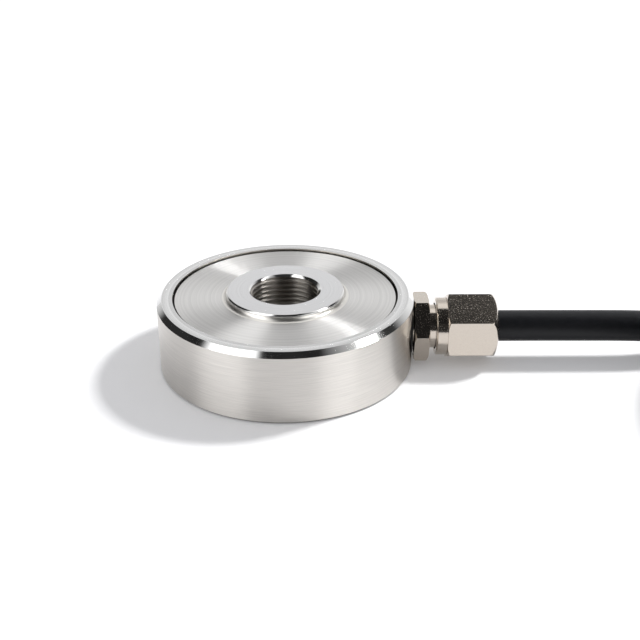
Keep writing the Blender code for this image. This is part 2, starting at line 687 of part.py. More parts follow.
def bare_lead(color, place, material, tinned, coil_centre):
    """One core past the sleeve: it leaves the bundle and lies beside the others on the turn below."""
    near_radius = COIL_INNER_TURN + place[0] * CORE_PITCH / 2
    near_height = COIL_LAYERS[2] + place[1] * CORE_PITCH / 2
    lying_radius = COIL_INNER_TURN + place[0] * CORE_PITCH * (1.5 if place[1] > 0 else 0.5)
    lying_height = COIL_LAYERS[1] + CABLE_RADIUS + SEAT_GAP + CORE_DIAMETER / 2
    start = SLEEVE_LENGTH + SEAT_GAP
    points = []
    way_down = ((0, 0, 0), (0.1, 0.1, 0), (0.3, 1, 0.15), (0.55, 1, 0.9), (0.7, 1, 1), (1, 1, 1))
    for share, spread, drop in way_down:
        radius = near_radius + (lying_radius - near_radius) * spread
        height = near_height + (lying_height - near_height) * drop
        points.append(on_coil(lead_angle(start + BARE_LEAD_LENGTH * share), radius, height))
    wire(f"bare_lead_{color}", smooth_route(points, 3 * MM), CORE_DIAMETER, material, 2, coil_centre)
    tip = start + BARE_LEAD_LENGTH + SEAT_GAP
    route = [
        on_coil(lead_angle(tip + TINNED_LENGTH * i / 2), lying_radius, lying_height) for i in range(3)
    ]
    wire(f"tinned_tip_{color}", route, TINNED_DIAMETER, tinned, 2, coil_centre)


def rounded_square(half, corner):
    points = []
    for right, up, start in ((1, 1, 0), (-1, 1, 90), (-1, -1, 180), (1, -1, 270)):
        center = (right * (half - corner), up * (half - corner))
        points += arc(center, corner, start, start + 90, 3)
    return points


def coil_tie(number, angle, material, coil_centre):
    """A strap round the coil's section, closed on itself."""
    inside = COIL_HALF_SECTION + SEAT_GAP
    outlines = [
        rounded_square(inside + TIE_THICKNESS, CABLE_RADIUS + TIE_THICKNESS),
        rounded_square(inside, CABLE_RADIUS),
    ]
    tie = flat_outline(f"coil_tie_{number}", outlines, TIE_WIDTH, material, coil_centre)
    tie.location = on_coil(angle, COIL_MEAN_RADIUS, inside + TIE_THICKNESS)
    tie.rotation_euler = (math.pi / 2, 0, math.pi / 2 - math.radians(angle))
    return tie


def build():
    stainless = new_material("stainless_steel", (0.62, 0.61, 0.59), 0.26, 1.0)
    plated = new_material("nickel_plated_brass", (0.66, 0.62, 0.57), 0.3, 1.0)
    rubber = new_material("black_rubber", (0.02, 0.02, 0.02), 0.7)
    jacket = new_material("cable_jacket", (0.018, 0.018, 0.02), 0.55)
    board = new_material("terminal_board", (0.03, 0.16, 0.06), 0.45)
    film = new_material("gauge_film", (0.62, 0.36, 0.08), 0.35)
    enamel = new_material("wire_enamel", (0.45, 0.12, 0.03), 0.35)
    tinned = new_material("tinned_copper", (0.7, 0.69, 0.67), 0.3, 1.0)
    strap = new_material("tie_strap", (0.025, 0.025, 0.027), 0.85)

    gland_axis = new_empty("gland_axis", (0, 0, GLAND_HEIGHT), (0, math.pi / 2, 0))
    coil_centre = new_empty("coil_centre", (COIL_X, COIL_Y, 0))

    housing_ring(stainless, gland_axis)
    measuring_body(stainless)
    base_cover(stainless)
    hub_seal(rubber)
    terminal_board(board)
    gauge_bridge(film, enamel)

    gland_gasket(rubber, gland_axis)
    gland_body(plated, gland_axis)
    gland_grommet(rubber, gland_axis)
    gland_pressure_ring(plated, gland_axis)
    gland_nut(plated, gland_axis)

    cable_run(jacket)
    cable_coil(jacket, coil_centre)
    end_sleeve(rubber, coil_centre)
    for color, (tint, place) in CORES.items():
        insulation = new_material(f"core_{color}", tint, 0.35)
        inner_core(color, place, insulation)
        bare_lead(color, place, insulation, tinned, coil_centre)
    for number, angle in enumerate(TIE_ANGLES, 1):
        coil_tie(number, angle, strap, coil_centre)


clear_scene()
SENSOR = new_collection("ring_force_sensor")
CUTTERS = new_collection("cutters")
build()
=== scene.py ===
# %% [markdown]
# # A ring force sensor on a white table
#
# A steel ring, 50 mm across, holds a turned plate with a threaded bore. A load on the raised
# boss bends the plate's thin web, and the gauges under it feel that. A nickel-plated cable
# gland sits on the ring's side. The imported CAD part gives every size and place. This lesson
# gives each visible piece the edges, the thread and the machined finishes of the real one.

# %% Load the CAD part
import math

import bpy
from mathutils import Matrix, Vector


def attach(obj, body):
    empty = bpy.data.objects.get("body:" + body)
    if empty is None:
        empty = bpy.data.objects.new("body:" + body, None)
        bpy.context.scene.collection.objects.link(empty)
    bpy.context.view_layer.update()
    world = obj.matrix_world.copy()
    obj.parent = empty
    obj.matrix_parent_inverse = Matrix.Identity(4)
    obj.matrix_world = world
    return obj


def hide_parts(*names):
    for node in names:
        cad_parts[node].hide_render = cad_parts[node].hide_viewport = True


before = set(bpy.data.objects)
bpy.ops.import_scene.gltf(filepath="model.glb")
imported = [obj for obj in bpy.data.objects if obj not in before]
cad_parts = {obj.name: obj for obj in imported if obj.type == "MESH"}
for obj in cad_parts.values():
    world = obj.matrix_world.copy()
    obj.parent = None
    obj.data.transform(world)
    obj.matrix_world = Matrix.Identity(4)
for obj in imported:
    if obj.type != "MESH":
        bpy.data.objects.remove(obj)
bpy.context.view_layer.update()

MM = 0.001
print("CAD nodes:", len(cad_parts))

# %% [markdown]
# ## The camera
#
# The photograph was taken from the front, 27 degrees above the table, with a long lens. These
# numbers come from fitting the ring's four visible circles, so the ring's axis is the world's
# Z axis and the cable runs along X. A camera matrix holds its right, up and backward
# directions as columns, which is simpler here than turning the camera by angles.

# %% Camera
CAMERA_PLACE = Vector((6.75, -190.56, 105.19)) * MM
CAMERA_PITCH = math.radians(26.92)
CAMERA_ROLL = math.radians(-0.24)

ahead = Vector((0, math.cos(CAMERA_PITCH), -math.sin(CAMERA_PITCH)))
level = Vector((1, 0, 0))
above = level.cross(ahead)
right = math.cos(CAMERA_ROLL) * level + math.sin(CAMERA_ROLL) * above
up = math.cos(CAMERA_ROLL) * above - math.sin(CAMERA_ROLL) * level

bpy.ops.object.camera_add(location=CAMERA_PLACE)
camera = bpy.context.object
camera.name = "camera"
camera.matrix_world = Matrix.Translation(CAMERA_PLACE) @ Matrix((right, up, -ahead)).transposed().to_4x4()
camera.data.sensor_width = 36
camera.data.lens = 60.82
camera.data.clip_start = 1 * MM
bpy.context.scene.camera = camera
print("camera height", round(CAMERA_PLACE.z / MM), "mm, lens", camera.data.lens)

# %% [markdown]
# ## The cable
#
# The cable is 6.2 mm thick and about 2 m long, and only its first 35 mm show in the
# photograph. The rest lies wound beside the sensor, as it comes out of its box. It runs straight
# past the picture's edge and then bends sideways onto the coil.
#
# A wound cable isn't a stack of rings: it is one line. Three tracks lie side by side in three
# layers. Near the end of a turn the cable jogs over to the next track, and where a layer is
# full it climbs. Each climb comes just before the jogs of the layer below it, so that two turns
# never meet.

# %% The cable's line
SEAT_GAP = 0.3 * MM
CABLE_RADIUS = 3.1 * MM
GLAND_HEIGHT = 7.048 * MM
COIL_MEAN_RADIUS = 37.5 * MM
TURN_SPACING = 6.5 * MM
COIL_LAYERS = [(4.6 + 6.5 * layer) * MM for layer in range(3)]
BEND_START = 70.0 * MM
BEND_RADIUS = 38.0 * MM
BEND_TURN = 42.0
BEND_LENGTH = BEND_RADIUS * math.radians(BEND_TURN)
JACKET_END_ANGLE = 218.0

# The coil's centre lies on the line from the bend's centre through the place where they touch.
to_coil = BEND_RADIUS + COIL_MEAN_RADIUS + TURN_SPACING
COIL_PLACE = Vector((
    BEND_START + to_coil * math.sin(math.radians(BEND_TURN)),
    BEND_RADIUS - to_coil * math.cos(math.radians(BEND_TURN)),
    0,
))

# (how far the cable has run from the ring's axis, its height)
CABLE_ROUTE = (
    (26.3 * MM, 7.048 * MM), (41.6 * MM, 7.048 * MM), (56.0 * MM, 7.018 * MM),
    (BEND_START, 6.848 * MM), (BEND_START + 0.35 * BEND_LENGTH, 6.0 * MM),
    (BEND_START + 0.7 * BEND_LENGTH, 4.95 * MM), (BEND_START + BEND_LENGTH, COIL_LAYERS[0]),
)

# (angle along the winding in degrees, track from the inside, layer from below)
WINDING = (
    (0, 2, 0), (290, 2, 0), (360, 1, 0), (650, 1, 0), (720, 0, 0), (940, 0, 0),
    (1010, 0, 1), (1230, 0, 1), (1300, 1, 1), (1590, 1, 1), (1660, 2, 1), (1880, 2, 1),
    (1950, 2, 2), (2170, 2, 2), (2240, 1, 2), (2530, 1, 2), (2600, 0, 2), (2780, 0, 2),
)


def on_coil(angle, radius, height):
    """A point by its angle clockwise from +Y, seen from the coil's centre."""
    turn = math.radians(angle)
    return COIL_PLACE + Vector((radius * math.sin(turn), radius * math.cos(turn), height))


def wound_point(angle):
    for (start, track, layer), (end, next_track, next_layer) in zip(WINDING, WINDING[1:]):
        if angle <= end:
            share = (angle - start) / (end - start)
            ease = share * share * (3 - 2 * share)
            radius = COIL_MEAN_RADIUS + (track + (next_track - track) * ease - 1) * TURN_SPACING
            height = COIL_LAYERS[layer] + (COIL_LAYERS[next_layer] - COIL_LAYERS[layer]) * ease
            return on_coil(angle - BEND_TURN, radius, height)


def on_lead_in(run, height):
    turn = max(0, run - BEND_START) / BEND_RADIUS
    x = min(run, BEND_START) + BEND_RADIUS * math.sin(turn)
    return Vector((x, BEND_RADIUS * (1 - math.cos(turn)), height))


def smooth_route(points, spacing):
    """Evenly spaced points on a smooth curve through the given ones."""
    knots = [Vector(point) for point in points]
    knots = [2 * knots[0] - knots[1], *knots, 2 * knots[-1] - knots[-2]]
    fine = []
    for a, b, c, d in zip(knots, knots[1:], knots[2:], knots[3:]):
        for t in (i / 40 for i in range(40)):
            bend = (2 * a - 5 * b + 4 * c - d) * t**2 + (3 * b - a - 3 * c + d) * t**3
            fine.append(b + ((c - a) * t + bend) / 2)
    fine.append(knots[-2])
    route = [fine[0]]
    for point in fine[1:]:
        if (point - route[-1]).length >= spacing:
            route.append(point)
    if (route[-1] - fine[-1]).length > spacing / 2:
        route.append(fine[-1])
    return route


route = smooth_route([(run, 0, height) for run, height in CABLE_ROUTE], 2.5 * MM)
lead_in = [on_lead_in(point.x, point.z) for point in route]
winding = [wound_point(angle) for angle in range(5, WINDING[-1][0] + 1, 5)]
cable_line = lead_in + winding
cable_length = sum((b - a).length for a, b in zip(cable_line, cable_line[1:]))
print("cable points", len(cable_line), "length", round(cable_length, 3), "m")


# %% [markdown]
# A bevelled curve is the right start for a cable: it keeps one thickness along the whole line
# and bends without kinks. Its spline is a plain one through the points above, because a spline
# that smooths them again would pull the line off its places in the winding. The finished tube
# is converted to a mesh, so that it has the same kind of surface as the machined pieces.

# %% Cable
def wire(name, line, diameter, sides=6, radii=None):
    """A round wire along a line. radii gives each point its share of the thickness."""
    curve = bpy.data.curves.new(name, "CURVE")
    curve.dimensions = "3D"
    curve.bevel_depth = diameter / 2
    curve.bevel_resolution = sides
    curve.use_fill_caps = True
    spline = curve.splines.new("POLY")
    spline.points.add(len(line) - 1)
    for point, place in zip(spline.points, line):
        point.co = (*place, 1)
    for point, radius in zip(spline.points, radii or []):
        point.radius = radius
    piece = bpy.data.objects.new(name, curve)
    bpy.context.scene.collection.objects.link(piece)
    bpy.ops.object.select_all(action="DESELECT")
    piece.select_set(True)
    bpy.context.view_layer.objects.active = piece
    bpy.ops.object.convert(target="MESH")
    bpy.ops.object.mode_set(mode="EDIT")
    bpy.ops.mesh.select_all(action="SELECT")
    bpy.ops.mesh.remove_doubles(threshold=0.001 * MM)
    bpy.ops.mesh.normals_make_consistent(inside=False)
    bpy.ops.object.mode_set(mode="OBJECT")
    bpy.ops.object.shade_smooth_by_angle(angle=math.radians(40))
    return piece


cable = wire("sensor_cable", cable_line, 2 * CABLE_RADIUS, sides=8)
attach(cable, "root")
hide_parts("cable_run", "cable_coil")

# %% [markdown]
# ## The bare end
#
# The far end has no plug: it is stripped, for the terminals of an amplifier. A heat-shrink
# sleeve closes the jacket's end. It is a little thicker than the jacket, and past it the sleeve
# has shrunk onto the four cores. These lie side by side on the turn below, and their last
# 6 mm are tinned.

# %% Sleeve, cores and tips
COIL_INNER_TURN = COIL_MEAN_RADIUS - TURN_SPACING
SLEEVE_LENGTH = 14.0 * MM
BARE_LEAD_LENGTH = 34.0 * MM
TINNED_LENGTH = 6.0 * MM
TIP_LAP = 0.5 * MM
TIP_STATIONS = 6
CORE_DIAMETER = 1.2 * MM
CORE_PITCH = CORE_DIAMETER + SEAT_GAP
CORE_PLACES = {"red": (-1, 1), "black": (1, 1), "green": (-1, -1), "white": (1, -1)}


def past_jacket(length, radius=COIL_INNER_TURN, height=COIL_LAYERS[2]):
    return on_coil(JACKET_END_ANGLE + math.degrees(length / COIL_INNER_TURN), radius, height)


sleeve_stations = (-7, -6.7, -5, -2, 0, 1.5, 3.5, 5.5, 8, 11, 13.4, 13.9)
sleeve_radii = (0.97, 1, 1.01, 1.02, 1.0, 0.94, 0.82, 0.72, 0.66, 0.64, 0.64, 0.6)
sleeve = wire(
    "shrink_sleeve", [past_jacket(s * MM) for s in sleeve_stations], 6.6 * MM, 10, sleeve_radii
)
bare_leads = {}
tinned_tips = []
for color, (side, row) in CORE_PLACES.items():
    near_radius = COIL_INNER_TURN + side * CORE_PITCH / 2
    near_height = COIL_LAYERS[2] + row * CORE_PITCH / 2
    lying_radius = COIL_INNER_TURN + side * CORE_PITCH * (1.5 if row > 0 else 0.5)
    lying_height = COIL_LAYERS[1] + CABLE_RADIUS + SEAT_GAP + CORE_DIAMETER / 2
    start = SLEEVE_LENGTH - 1.0 * MM
    end = SLEEVE_LENGTH + SEAT_GAP + BARE_LEAD_LENGTH
    points = []
    for share, spread, drop in (
        (0, 0, 0), (0.1, 0.1, 0), (0.3, 1, 0.15), (0.55, 1, 0.9), (0.7, 1, 1), (1, 1, 1)
    ):
        radius = near_radius + (lying_radius - near_radius) * spread
        height = near_height + (lying_height - near_height) * drop
        points.append(past_jacket(start + (end - start) * share, radius, height))
    lead = wire(f"core_{color}_bare", smooth_route(points, 1 * MM), CORE_DIAMETER, 4)
    bare_leads[color] = lead
    tip_step = (TINNED_LENGTH + TIP_LAP) / (TIP_STATIONS - 1)
    tip_line = [
        past_jacket(end - TIP_LAP + i * tip_step, lying_radius, lying_height) for i in range(TIP_STATIONS)
    ]
    tip = wire(f"tip_{color}_tinned", tip_line, 0.8 * MM, 4, (1, 1, 1, 1, 1, 0.8))
    tinned_tips.append(tip)
    for piece, slot in ((lead, f"core_{color}"), (tip, "tinned_copper")):
        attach(piece, "root")
    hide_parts(f"bare_lead_{color}")
    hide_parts(f"tinned_tip_{color}")
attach(sleeve, "root")
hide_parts("end_sleeve")
print("bare cores", len(bare_leads), "tips", len(tinned_tips))


# %% [markdown]
# ## Turning a piece
#
# Most of this sensor comes off a lathe, so most pieces start as one circle of points. The
# circle is extruded from corner to corner of the piece's outline, resized at each step, and
# its last ring is bridged to the first. The Screw modifier would do the same from a flat
# outline. Extruding shows each machined step as it is made, and leaves clean loops of faces.
#
# Real edges are never perfectly sharp. A narrow Bevel gives each a thin line of light, and
# Weighted Normal then keeps the flat faces flat in a reflection, in spite of the soft edges.
# After a Boolean that can still leave a corner of a large flat leaning, and its mirror image
# bent, so the true flats get their own direction back at every corner.
#
# The bevel is clamped so that it never runs into itself, and the shortest edge of a piece sets
# that limit for all its edges. A Boolean leaves very short ones. So the ring keeps only
# 0.0024 mm of its bevel, the gland's body 0.0015 mm and the nut none: their edges are still
# sharp. The measuring body, whose edges are broken before it is cut, gets 0.03 mm.

# %% Modelling helpers
def pick(piece):
    if bpy.context.mode != "OBJECT":
        bpy.ops.object.mode_set(mode="OBJECT")
    bpy.ops.object.select_all(action="DESELECT")
    piece.select_set(True)
    bpy.context.view_layer.objects.active = piece


def turn_on_lathe(name, outline, steps=256):
    """A closed outline of (radius, height) in millimetres, turned about Z."""
    bpy.ops.object.select_all(action="DESELECT")
    radius, height = outline[0]
    bpy.ops.mesh.primitive_circle_add(vertices=steps, radius=radius * MM, location=(0, 0, height * MM))
    piece = bpy.context.object
    piece.name = piece.data.name = name
    bpy.ops.object.mode_set(mode="EDIT")
    bpy.ops.mesh.select_mode(type="EDGE")
    bpy.ops.mesh.select_all(action="SELECT")
    for (radius, height), (next_radius, next_height) in zip(outline, outline[1:]):
        step = (0, 0, (next_height - height) * MM)
        bpy.ops.mesh.extrude_region_move(TRANSFORM_OT_translate={"value": step})
        if next_radius != radius:
            share = next_radius / radius
            bpy.ops.transform.resize(value=(share, share, 1), center_override=(0, 0, next_height * MM))
    bpy.ops.mesh.select_all(action="DESELECT")
    bpy.ops.mesh.select_non_manifold()
    bpy.ops.mesh.bridge_edge_loops()
    bpy.ops.mesh.select_all(action="SELECT")
    bpy.ops.mesh.normals_make_consistent(inside=False)
    bpy.ops.object.mode_set(mode="OBJECT")
    bpy.ops.object.transform_apply(location=True, rotation=True, scale=True)
    return piece


def corner_arc(center, radius, start, end, steps=10):
    """Points on a round corner of an outline, with its angles in degrees."""
    angles = [math.radians(start + (end - start) * i / steps) for i in range(steps + 1)]
    return [(center[0] + radius * math.cos(a), center[1] + radius * math.sin(a)) for a in angles]


def apply_modifier(piece, kind, **settings):
    pick(piece)
    modifier = piece.modifiers.new(kind.lower(), kind)
    for name, value in settings.items():
        setattr(modifier, name, value)
    bpy.ops.object.modifier_apply(modifier=modifier.name)


def machine(piece, tool, operation="DIFFERENCE"):
    """Cuts the piece with a tool, or trims it to the tool's shape, and removes the tool."""
    apply_modifier(piece, "BOOLEAN", operation=operation, object=tool, solver="EXACT")
    bpy.data.objects.remove(tool)


def break_edges(piece, width, segments=3, angle=25):
    """Bevels the sharp edges. The width is the most they get: the clamp may leave far less."""
    apply_modifier(
        piece, "BEVEL", width=width * MM, segments=segments, limit_method="ANGLE",
        angle_limit=math.radians(angle), use_clamp_overlap=True,
    )


def drop_empty_faces(piece):
    """Removes the faces without area that a bevel leaves where its clamp took all its width."""
    pick(piece)
    bpy.ops.object.mode_set(mode="EDIT")
    bpy.ops.mesh.select_all(action="SELECT")
    bpy.ops.mesh.remove_doubles(threshold=0.0002 * MM)
    bpy.ops.object.mode_set(mode="OBJECT")


def settle_shading(piece, angle=32, is_flat=None):
    pick(piece)
    bpy.ops.object.shade_smooth_by_angle(angle=math.radians(angle))
    apply_modifier(piece, "WEIGHTED_NORMAL", weight=80, keep_sharp=True)
    if is_flat is None:
        return
    directions = [corner.vector.copy() for corner in piece.data.corner_normals]
    for face in piece.data.polygons:
        if is_flat(face.center / MM, face.normal):
            for corner in face.loop_indices:
                directions[corner] = face.normal.copy()
    piece.data.normals_split_custom_set(directions)


def is_level(center, normal):
    return abs(normal.z) > 0.9999


def lay_along_cable(piece):
    """Turns a piece from its own Z axis onto the gland's axis, and keeps that in its mesh."""
    pick(piece)
    piece.rotation_euler = (0, math.pi / 2, 0)
    piece.location = (0, 0, GLAND_HEIGHT)
    bpy.ops.object.transform_apply(location=True, rotation=True, scale=True)


def rod(name, radius, start, end, sides=128):
    """A tool: a plain rod along Z, in millimetres."""
    bpy.ops.object.select_all(action="DESELECT")
    bpy.ops.mesh.primitive_cylinder_add(
        vertices=sides, radius=radius * MM, depth=(end - start) * MM, location=(0, 0, (start + end) / 2 * MM)
    )
    tool = bpy.context.object
    tool.name = name
    bpy.ops.object.transform_apply(location=True, rotation=True, scale=True)
    return tool


# %% [markdown]
# ## The outer ring
#
# One turned piece: a narrow flat rim, a 45 degree chamfer, the brushed side, and inside it the
# steps that carry the plate, the terminal board and the bottom cover. The gland needs a flat,
# round pocket to seal on, and a hole for its spigot. Both are milled after turning, so here
# they are Booleans with rods that lie along the gland's axis.

# %% Outer ring
# The sizes of turned pieces are radii, heights and places in millimetres.
RING_RADIUS = 25.0
RIM_HEIGHT = 14.399
RIM_CHAMFER = 0.95
BASE_CHAMFER = 0.4
COVER_SEAT_RADIUS, COVER_SEAT_HEIGHT = 21.72, 1.9
BOARD_SEAT_RADIUS, BOARD_SEAT_HEIGHT = 20.42, 3.6
CHAMBER_RADIUS = 19.42
LEDGE_HEIGHT = 11.369
GROOVE_RADIUS = 21.95
PORT_RADIUS, PORT_START = 3.7, 10.0
POCKET_RADIUS, POCKET_FLOOR = 5.6, 24.0

ring_outline = [
    (RING_RADIUS - RIM_CHAMFER, RIM_HEIGHT), (RING_RADIUS, RIM_HEIGHT - RIM_CHAMFER),
    (RING_RADIUS, BASE_CHAMFER), (RING_RADIUS - BASE_CHAMFER, 0),
    (COVER_SEAT_RADIUS, 0), (COVER_SEAT_RADIUS, COVER_SEAT_HEIGHT),
    (BOARD_SEAT_RADIUS, COVER_SEAT_HEIGHT), (BOARD_SEAT_RADIUS, BOARD_SEAT_HEIGHT),
    (CHAMBER_RADIUS, BOARD_SEAT_HEIGHT), (CHAMBER_RADIUS, LEDGE_HEIGHT),
    (GROOVE_RADIUS, LEDGE_HEIGHT), (GROOVE_RADIUS, RIM_HEIGHT),
]
outer_ring = turn_on_lathe("outer_ring", ring_outline)
for tool_radius, tool_start in ((PORT_RADIUS, PORT_START), (POCKET_RADIUS, POCKET_FLOOR)):
    tool = rod("port_tool", tool_radius, tool_start, RING_RADIUS + 2)
    lay_along_cable(tool)
    machine(outer_ring, tool)
break_edges(outer_ring, 0.05)
settle_shading(outer_ring, is_flat=is_level)
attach(outer_ring, "root")
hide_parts("housing_ring")
print("outer ring faces", len(outer_ring.data.polygons))

# %% [markdown]
# ## The measuring body
#
# The plate, the boss and the hub are one piece of steel, because a joint would creep under
# load. A round fillet joins the boss to the plate. The bore is turned to the thread's inner
# diameter first, with a chamfer at each end. The edges are broken now, before the thread is
# cut: bevelling the thread itself would only blunt it.

# %% Measuring body
PLATE_RADIUS, PLATE_HEIGHT = 21.52, 13.969
WEB_BOTTOM = PLATE_HEIGHT - 1.6
WEB_FILLET = 0.6
LIP_BOTTOM = LEDGE_HEIGHT + 0.3
BOSS_RADIUS, BOSS_HEIGHT = 11.5, 15.249
BOSS_CHAMFER = 0.25
BOSS_FILLET = 1.0
HUB_RADIUS, HUB_BOTTOM = 10.0, 0.35
HUB_CHAMFER = 0.3
BORE_RADIUS = 6.46
BORE_CHAMFER = 0.6

body_outline = [
    (BOSS_RADIUS - BOSS_CHAMFER, BOSS_HEIGHT), (BOSS_RADIUS, BOSS_HEIGHT - BOSS_CHAMFER),
    *corner_arc((BOSS_RADIUS + BOSS_FILLET, PLATE_HEIGHT + BOSS_FILLET), BOSS_FILLET, 180, 270),
    (PLATE_RADIUS, PLATE_HEIGHT), (PLATE_RADIUS, LIP_BOTTOM), (CHAMBER_RADIUS, LIP_BOTTOM),
    *corner_arc((CHAMBER_RADIUS - WEB_FILLET, WEB_BOTTOM - WEB_FILLET), WEB_FILLET, 0, 90, 5),
    *corner_arc((HUB_RADIUS + WEB_FILLET, WEB_BOTTOM - WEB_FILLET), WEB_FILLET, 90, 180, 5),
    (HUB_RADIUS, HUB_BOTTOM + HUB_CHAMFER), (HUB_RADIUS - HUB_CHAMFER, HUB_BOTTOM),
    (BORE_RADIUS + BORE_CHAMFER, HUB_BOTTOM), (BORE_RADIUS, HUB_BOTTOM + BORE_CHAMFER),
    (BORE_RADIUS, BOSS_HEIGHT - BORE_CHAMFER), (BORE_RADIUS + BORE_CHAMFER, BOSS_HEIGHT),
]
threaded_body = turn_on_lathe("threaded_body", body_outline)
break_edges(threaded_body, 0.05)

# %% [markdown]
# ## The thread
#
# An M14 x 1 thread is a groove with 60 degree sides and a narrow flat bottom, cut along a
# helix that climbs 1 mm in each turn. The tool is that groove as a solid. A plane gets the
# groove's outline, and the Screw modifier sweeps it up the bore. At its mouth the outline is
# still narrower than the pitch, so the tool never runs into itself, and the Boolean cuts a
# true helix with its run-outs in both chamfers.

# %% Thread tool
PITCH = 1.0
THREAD_TURNS = 17
THREAD_STEPS = 120
THREAD_START = -0.7
MOUTH_RADIUS, ROOT_RADIUS = 6.3, 7.0
root_half = PITCH / 16
mouth_half = root_half + (ROOT_RADIUS - MOUTH_RADIUS) * math.tan(math.radians(30))

bpy.ops.object.select_all(action="DESELECT")
bpy.ops.mesh.primitive_plane_add(size=1)
thread_tool = bpy.context.object
thread_tool.name = "thread_tool"
for vertex in thread_tool.data.vertices:
    at_root = vertex.co.x > 0
    half = root_half if at_root else mouth_half
    height = math.copysign(half, vertex.co.y) + THREAD_START
    vertex.co = Vector((ROOT_RADIUS if at_root else MOUTH_RADIUS, 0, height)) * MM
pick(thread_tool)
bpy.ops.object.mode_set(mode="EDIT")
bpy.ops.mesh.select_all(action="SELECT")
bpy.ops.mesh.delete(type="ONLY_FACE")
bpy.ops.object.mode_set(mode="OBJECT")
apply_modifier(
    thread_tool, "SCREW", steps=THREAD_STEPS, render_steps=THREAD_STEPS, angle=2 * math.pi,
    screw_offset=PITCH * MM, iterations=THREAD_TURNS, use_merge_vertices=False,
)
bpy.ops.object.mode_set(mode="EDIT")
bpy.ops.mesh.select_all(action="SELECT")
bpy.ops.mesh.remove_doubles(threshold=0.0001 * MM)
bpy.ops.mesh.select_all(action="DESELECT")
bpy.ops.mesh.select_non_manifold()
bpy.ops.mesh.fill()
bpy.ops.mesh.select_all(action="SELECT")
bpy.ops.mesh.normals_make_consistent(inside=False)
bpy.ops.object.mode_set(mode="OBJECT")
print("thread tool faces", len(thread_tool.data.polygons))

# %% Cut the thread
machine(threaded_body, thread_tool)
settle_shading(threaded_body, is_flat=is_level)
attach(threaded_body, "root")
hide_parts("measuring_body")
print("measuring body faces", len(threaded_body.data.polygons))

# %% [markdown]
# ## The cable gland
#
# Its body and its nut are turned from brass and then milled to a hexagon. The corners therefore
# end where the turned chamfer or dome meets the six flats, in the curved lines that every nut
# shows. Trimming a turned blank to a six-sided prism gives exactly these lines.

# %% Hexagons
HEX_RADIUS = 6.928
HEX_CHAMFER, HEX_CHAMFER_LENGTH = 0.6, 0.346
BODY_HEX_START, BODY_HEX_END = 25.1, 28.0
BODY_HEX_TURN = math.radians(23.2)
GLAND_BORE = 3.4
SPIGOT_RADIUS, SPIGOT_START = 3.4, 20.42
CORE_HOLE_RADIUS = 1.961
CABLE_STOP = 26.0
TUBE_RADIUS, TUBE_END = 4.3, 36.176
TUBE_CHAMFER = 0.6


def hex_bar(turn, start, end):
    """Blender's six-sided rod has its corners along Y. A turn of 30 degrees points one down."""
    tool = rod("hex_tool", HEX_RADIUS, start, end, sides=6)
    pick(tool)
    tool.rotation_euler = (0, 0, math.radians(30) + turn)
    bpy.ops.object.transform_apply(location=True, rotation=True, scale=True)
    return tool


def is_hex_flat(center, normal):
    """True for a face in one of the six planes, which lie along the gland's axis."""
    from_axis = Vector((0, center.y, center.z - GLAND_HEIGHT / MM))
    plane = HEX_RADIUS * math.cos(math.radians(30))
    return abs(normal.x) < 0.001 and abs(from_axis.dot(normal) - plane) < 0.003


gland_outline = [
    (TUBE_RADIUS, TUBE_END), (TUBE_RADIUS, BODY_HEX_END), (HEX_RADIUS - HEX_CHAMFER, BODY_HEX_END),
    (HEX_RADIUS, BODY_HEX_END - HEX_CHAMFER_LENGTH), (HEX_RADIUS, BODY_HEX_START + HEX_CHAMFER_LENGTH),
    (HEX_RADIUS - HEX_CHAMFER, BODY_HEX_START), (SPIGOT_RADIUS, BODY_HEX_START),
    (SPIGOT_RADIUS, SPIGOT_START), (CORE_HOLE_RADIUS, SPIGOT_START), (CORE_HOLE_RADIUS, CABLE_STOP),
    (GLAND_BORE, CABLE_STOP), (GLAND_BORE, TUBE_END - TUBE_CHAMFER), (GLAND_BORE + TUBE_CHAMFER, TUBE_END),
]
gland_stem = turn_on_lathe("gland_stem", gland_outline, 192)
machine(gland_stem, hex_bar(BODY_HEX_TURN, 18, 38), "INTERSECT")
break_edges(gland_stem, 0.09)
lay_along_cable(gland_stem)
settle_shading(gland_stem, is_flat=is_hex_flat)
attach(gland_stem, "root")
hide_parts("gland_body")
print("gland stem faces", len(gland_stem.data.polygons))

# %% [markdown]
# The nut has a short round collar towards the ring. At the cable's end it is turned to a low
# dome, and the flats fade into it. The Boolean leaves edges of no length on the nut, which
# clamp its bevel to nothing, so the bevel's empty faces are removed here.

# %% Gland nut
NUT_END = 41.6
DOME_WIDTH, DOME_LENGTH, DOME_STEPS = 3.228, 1.9, 12
NUT_HEX_START = 31.6
COLLAR_RADIUS, COLLAR_START = 5.7, 29.4
COLLAR_CHAMFER = 0.25
NUT_BORE, NUT_SHOULDER = 4.6, 40.4

nut_dome = []
for i in range(DOME_STEPS + 1):
    turn = math.pi / 2 * (1 - i / DOME_STEPS)
    radius = HEX_RADIUS - DOME_WIDTH * (1 - math.cos(turn))
    nut_dome.append((radius, NUT_END - DOME_LENGTH * (1 - math.sin(turn))))
nut_outline = [
    *nut_dome, (HEX_RADIUS, NUT_HEX_START + HEX_CHAMFER_LENGTH), (HEX_RADIUS - HEX_CHAMFER, NUT_HEX_START),
    (COLLAR_RADIUS, NUT_HEX_START), (COLLAR_RADIUS, COLLAR_START + COLLAR_CHAMFER),
    (COLLAR_RADIUS - COLLAR_CHAMFER, COLLAR_START), (NUT_BORE, COLLAR_START), (NUT_BORE, NUT_SHOULDER),
    (GLAND_BORE, NUT_SHOULDER), (GLAND_BORE, NUT_END),
]
cap_nut = turn_on_lathe("cap_nut", nut_outline, 192)
machine(cap_nut, hex_bar(0, 28, 43), "INTERSECT")
break_edges(cap_nut, 0.12)
drop_empty_faces(cap_nut)
lay_along_cable(cap_nut)
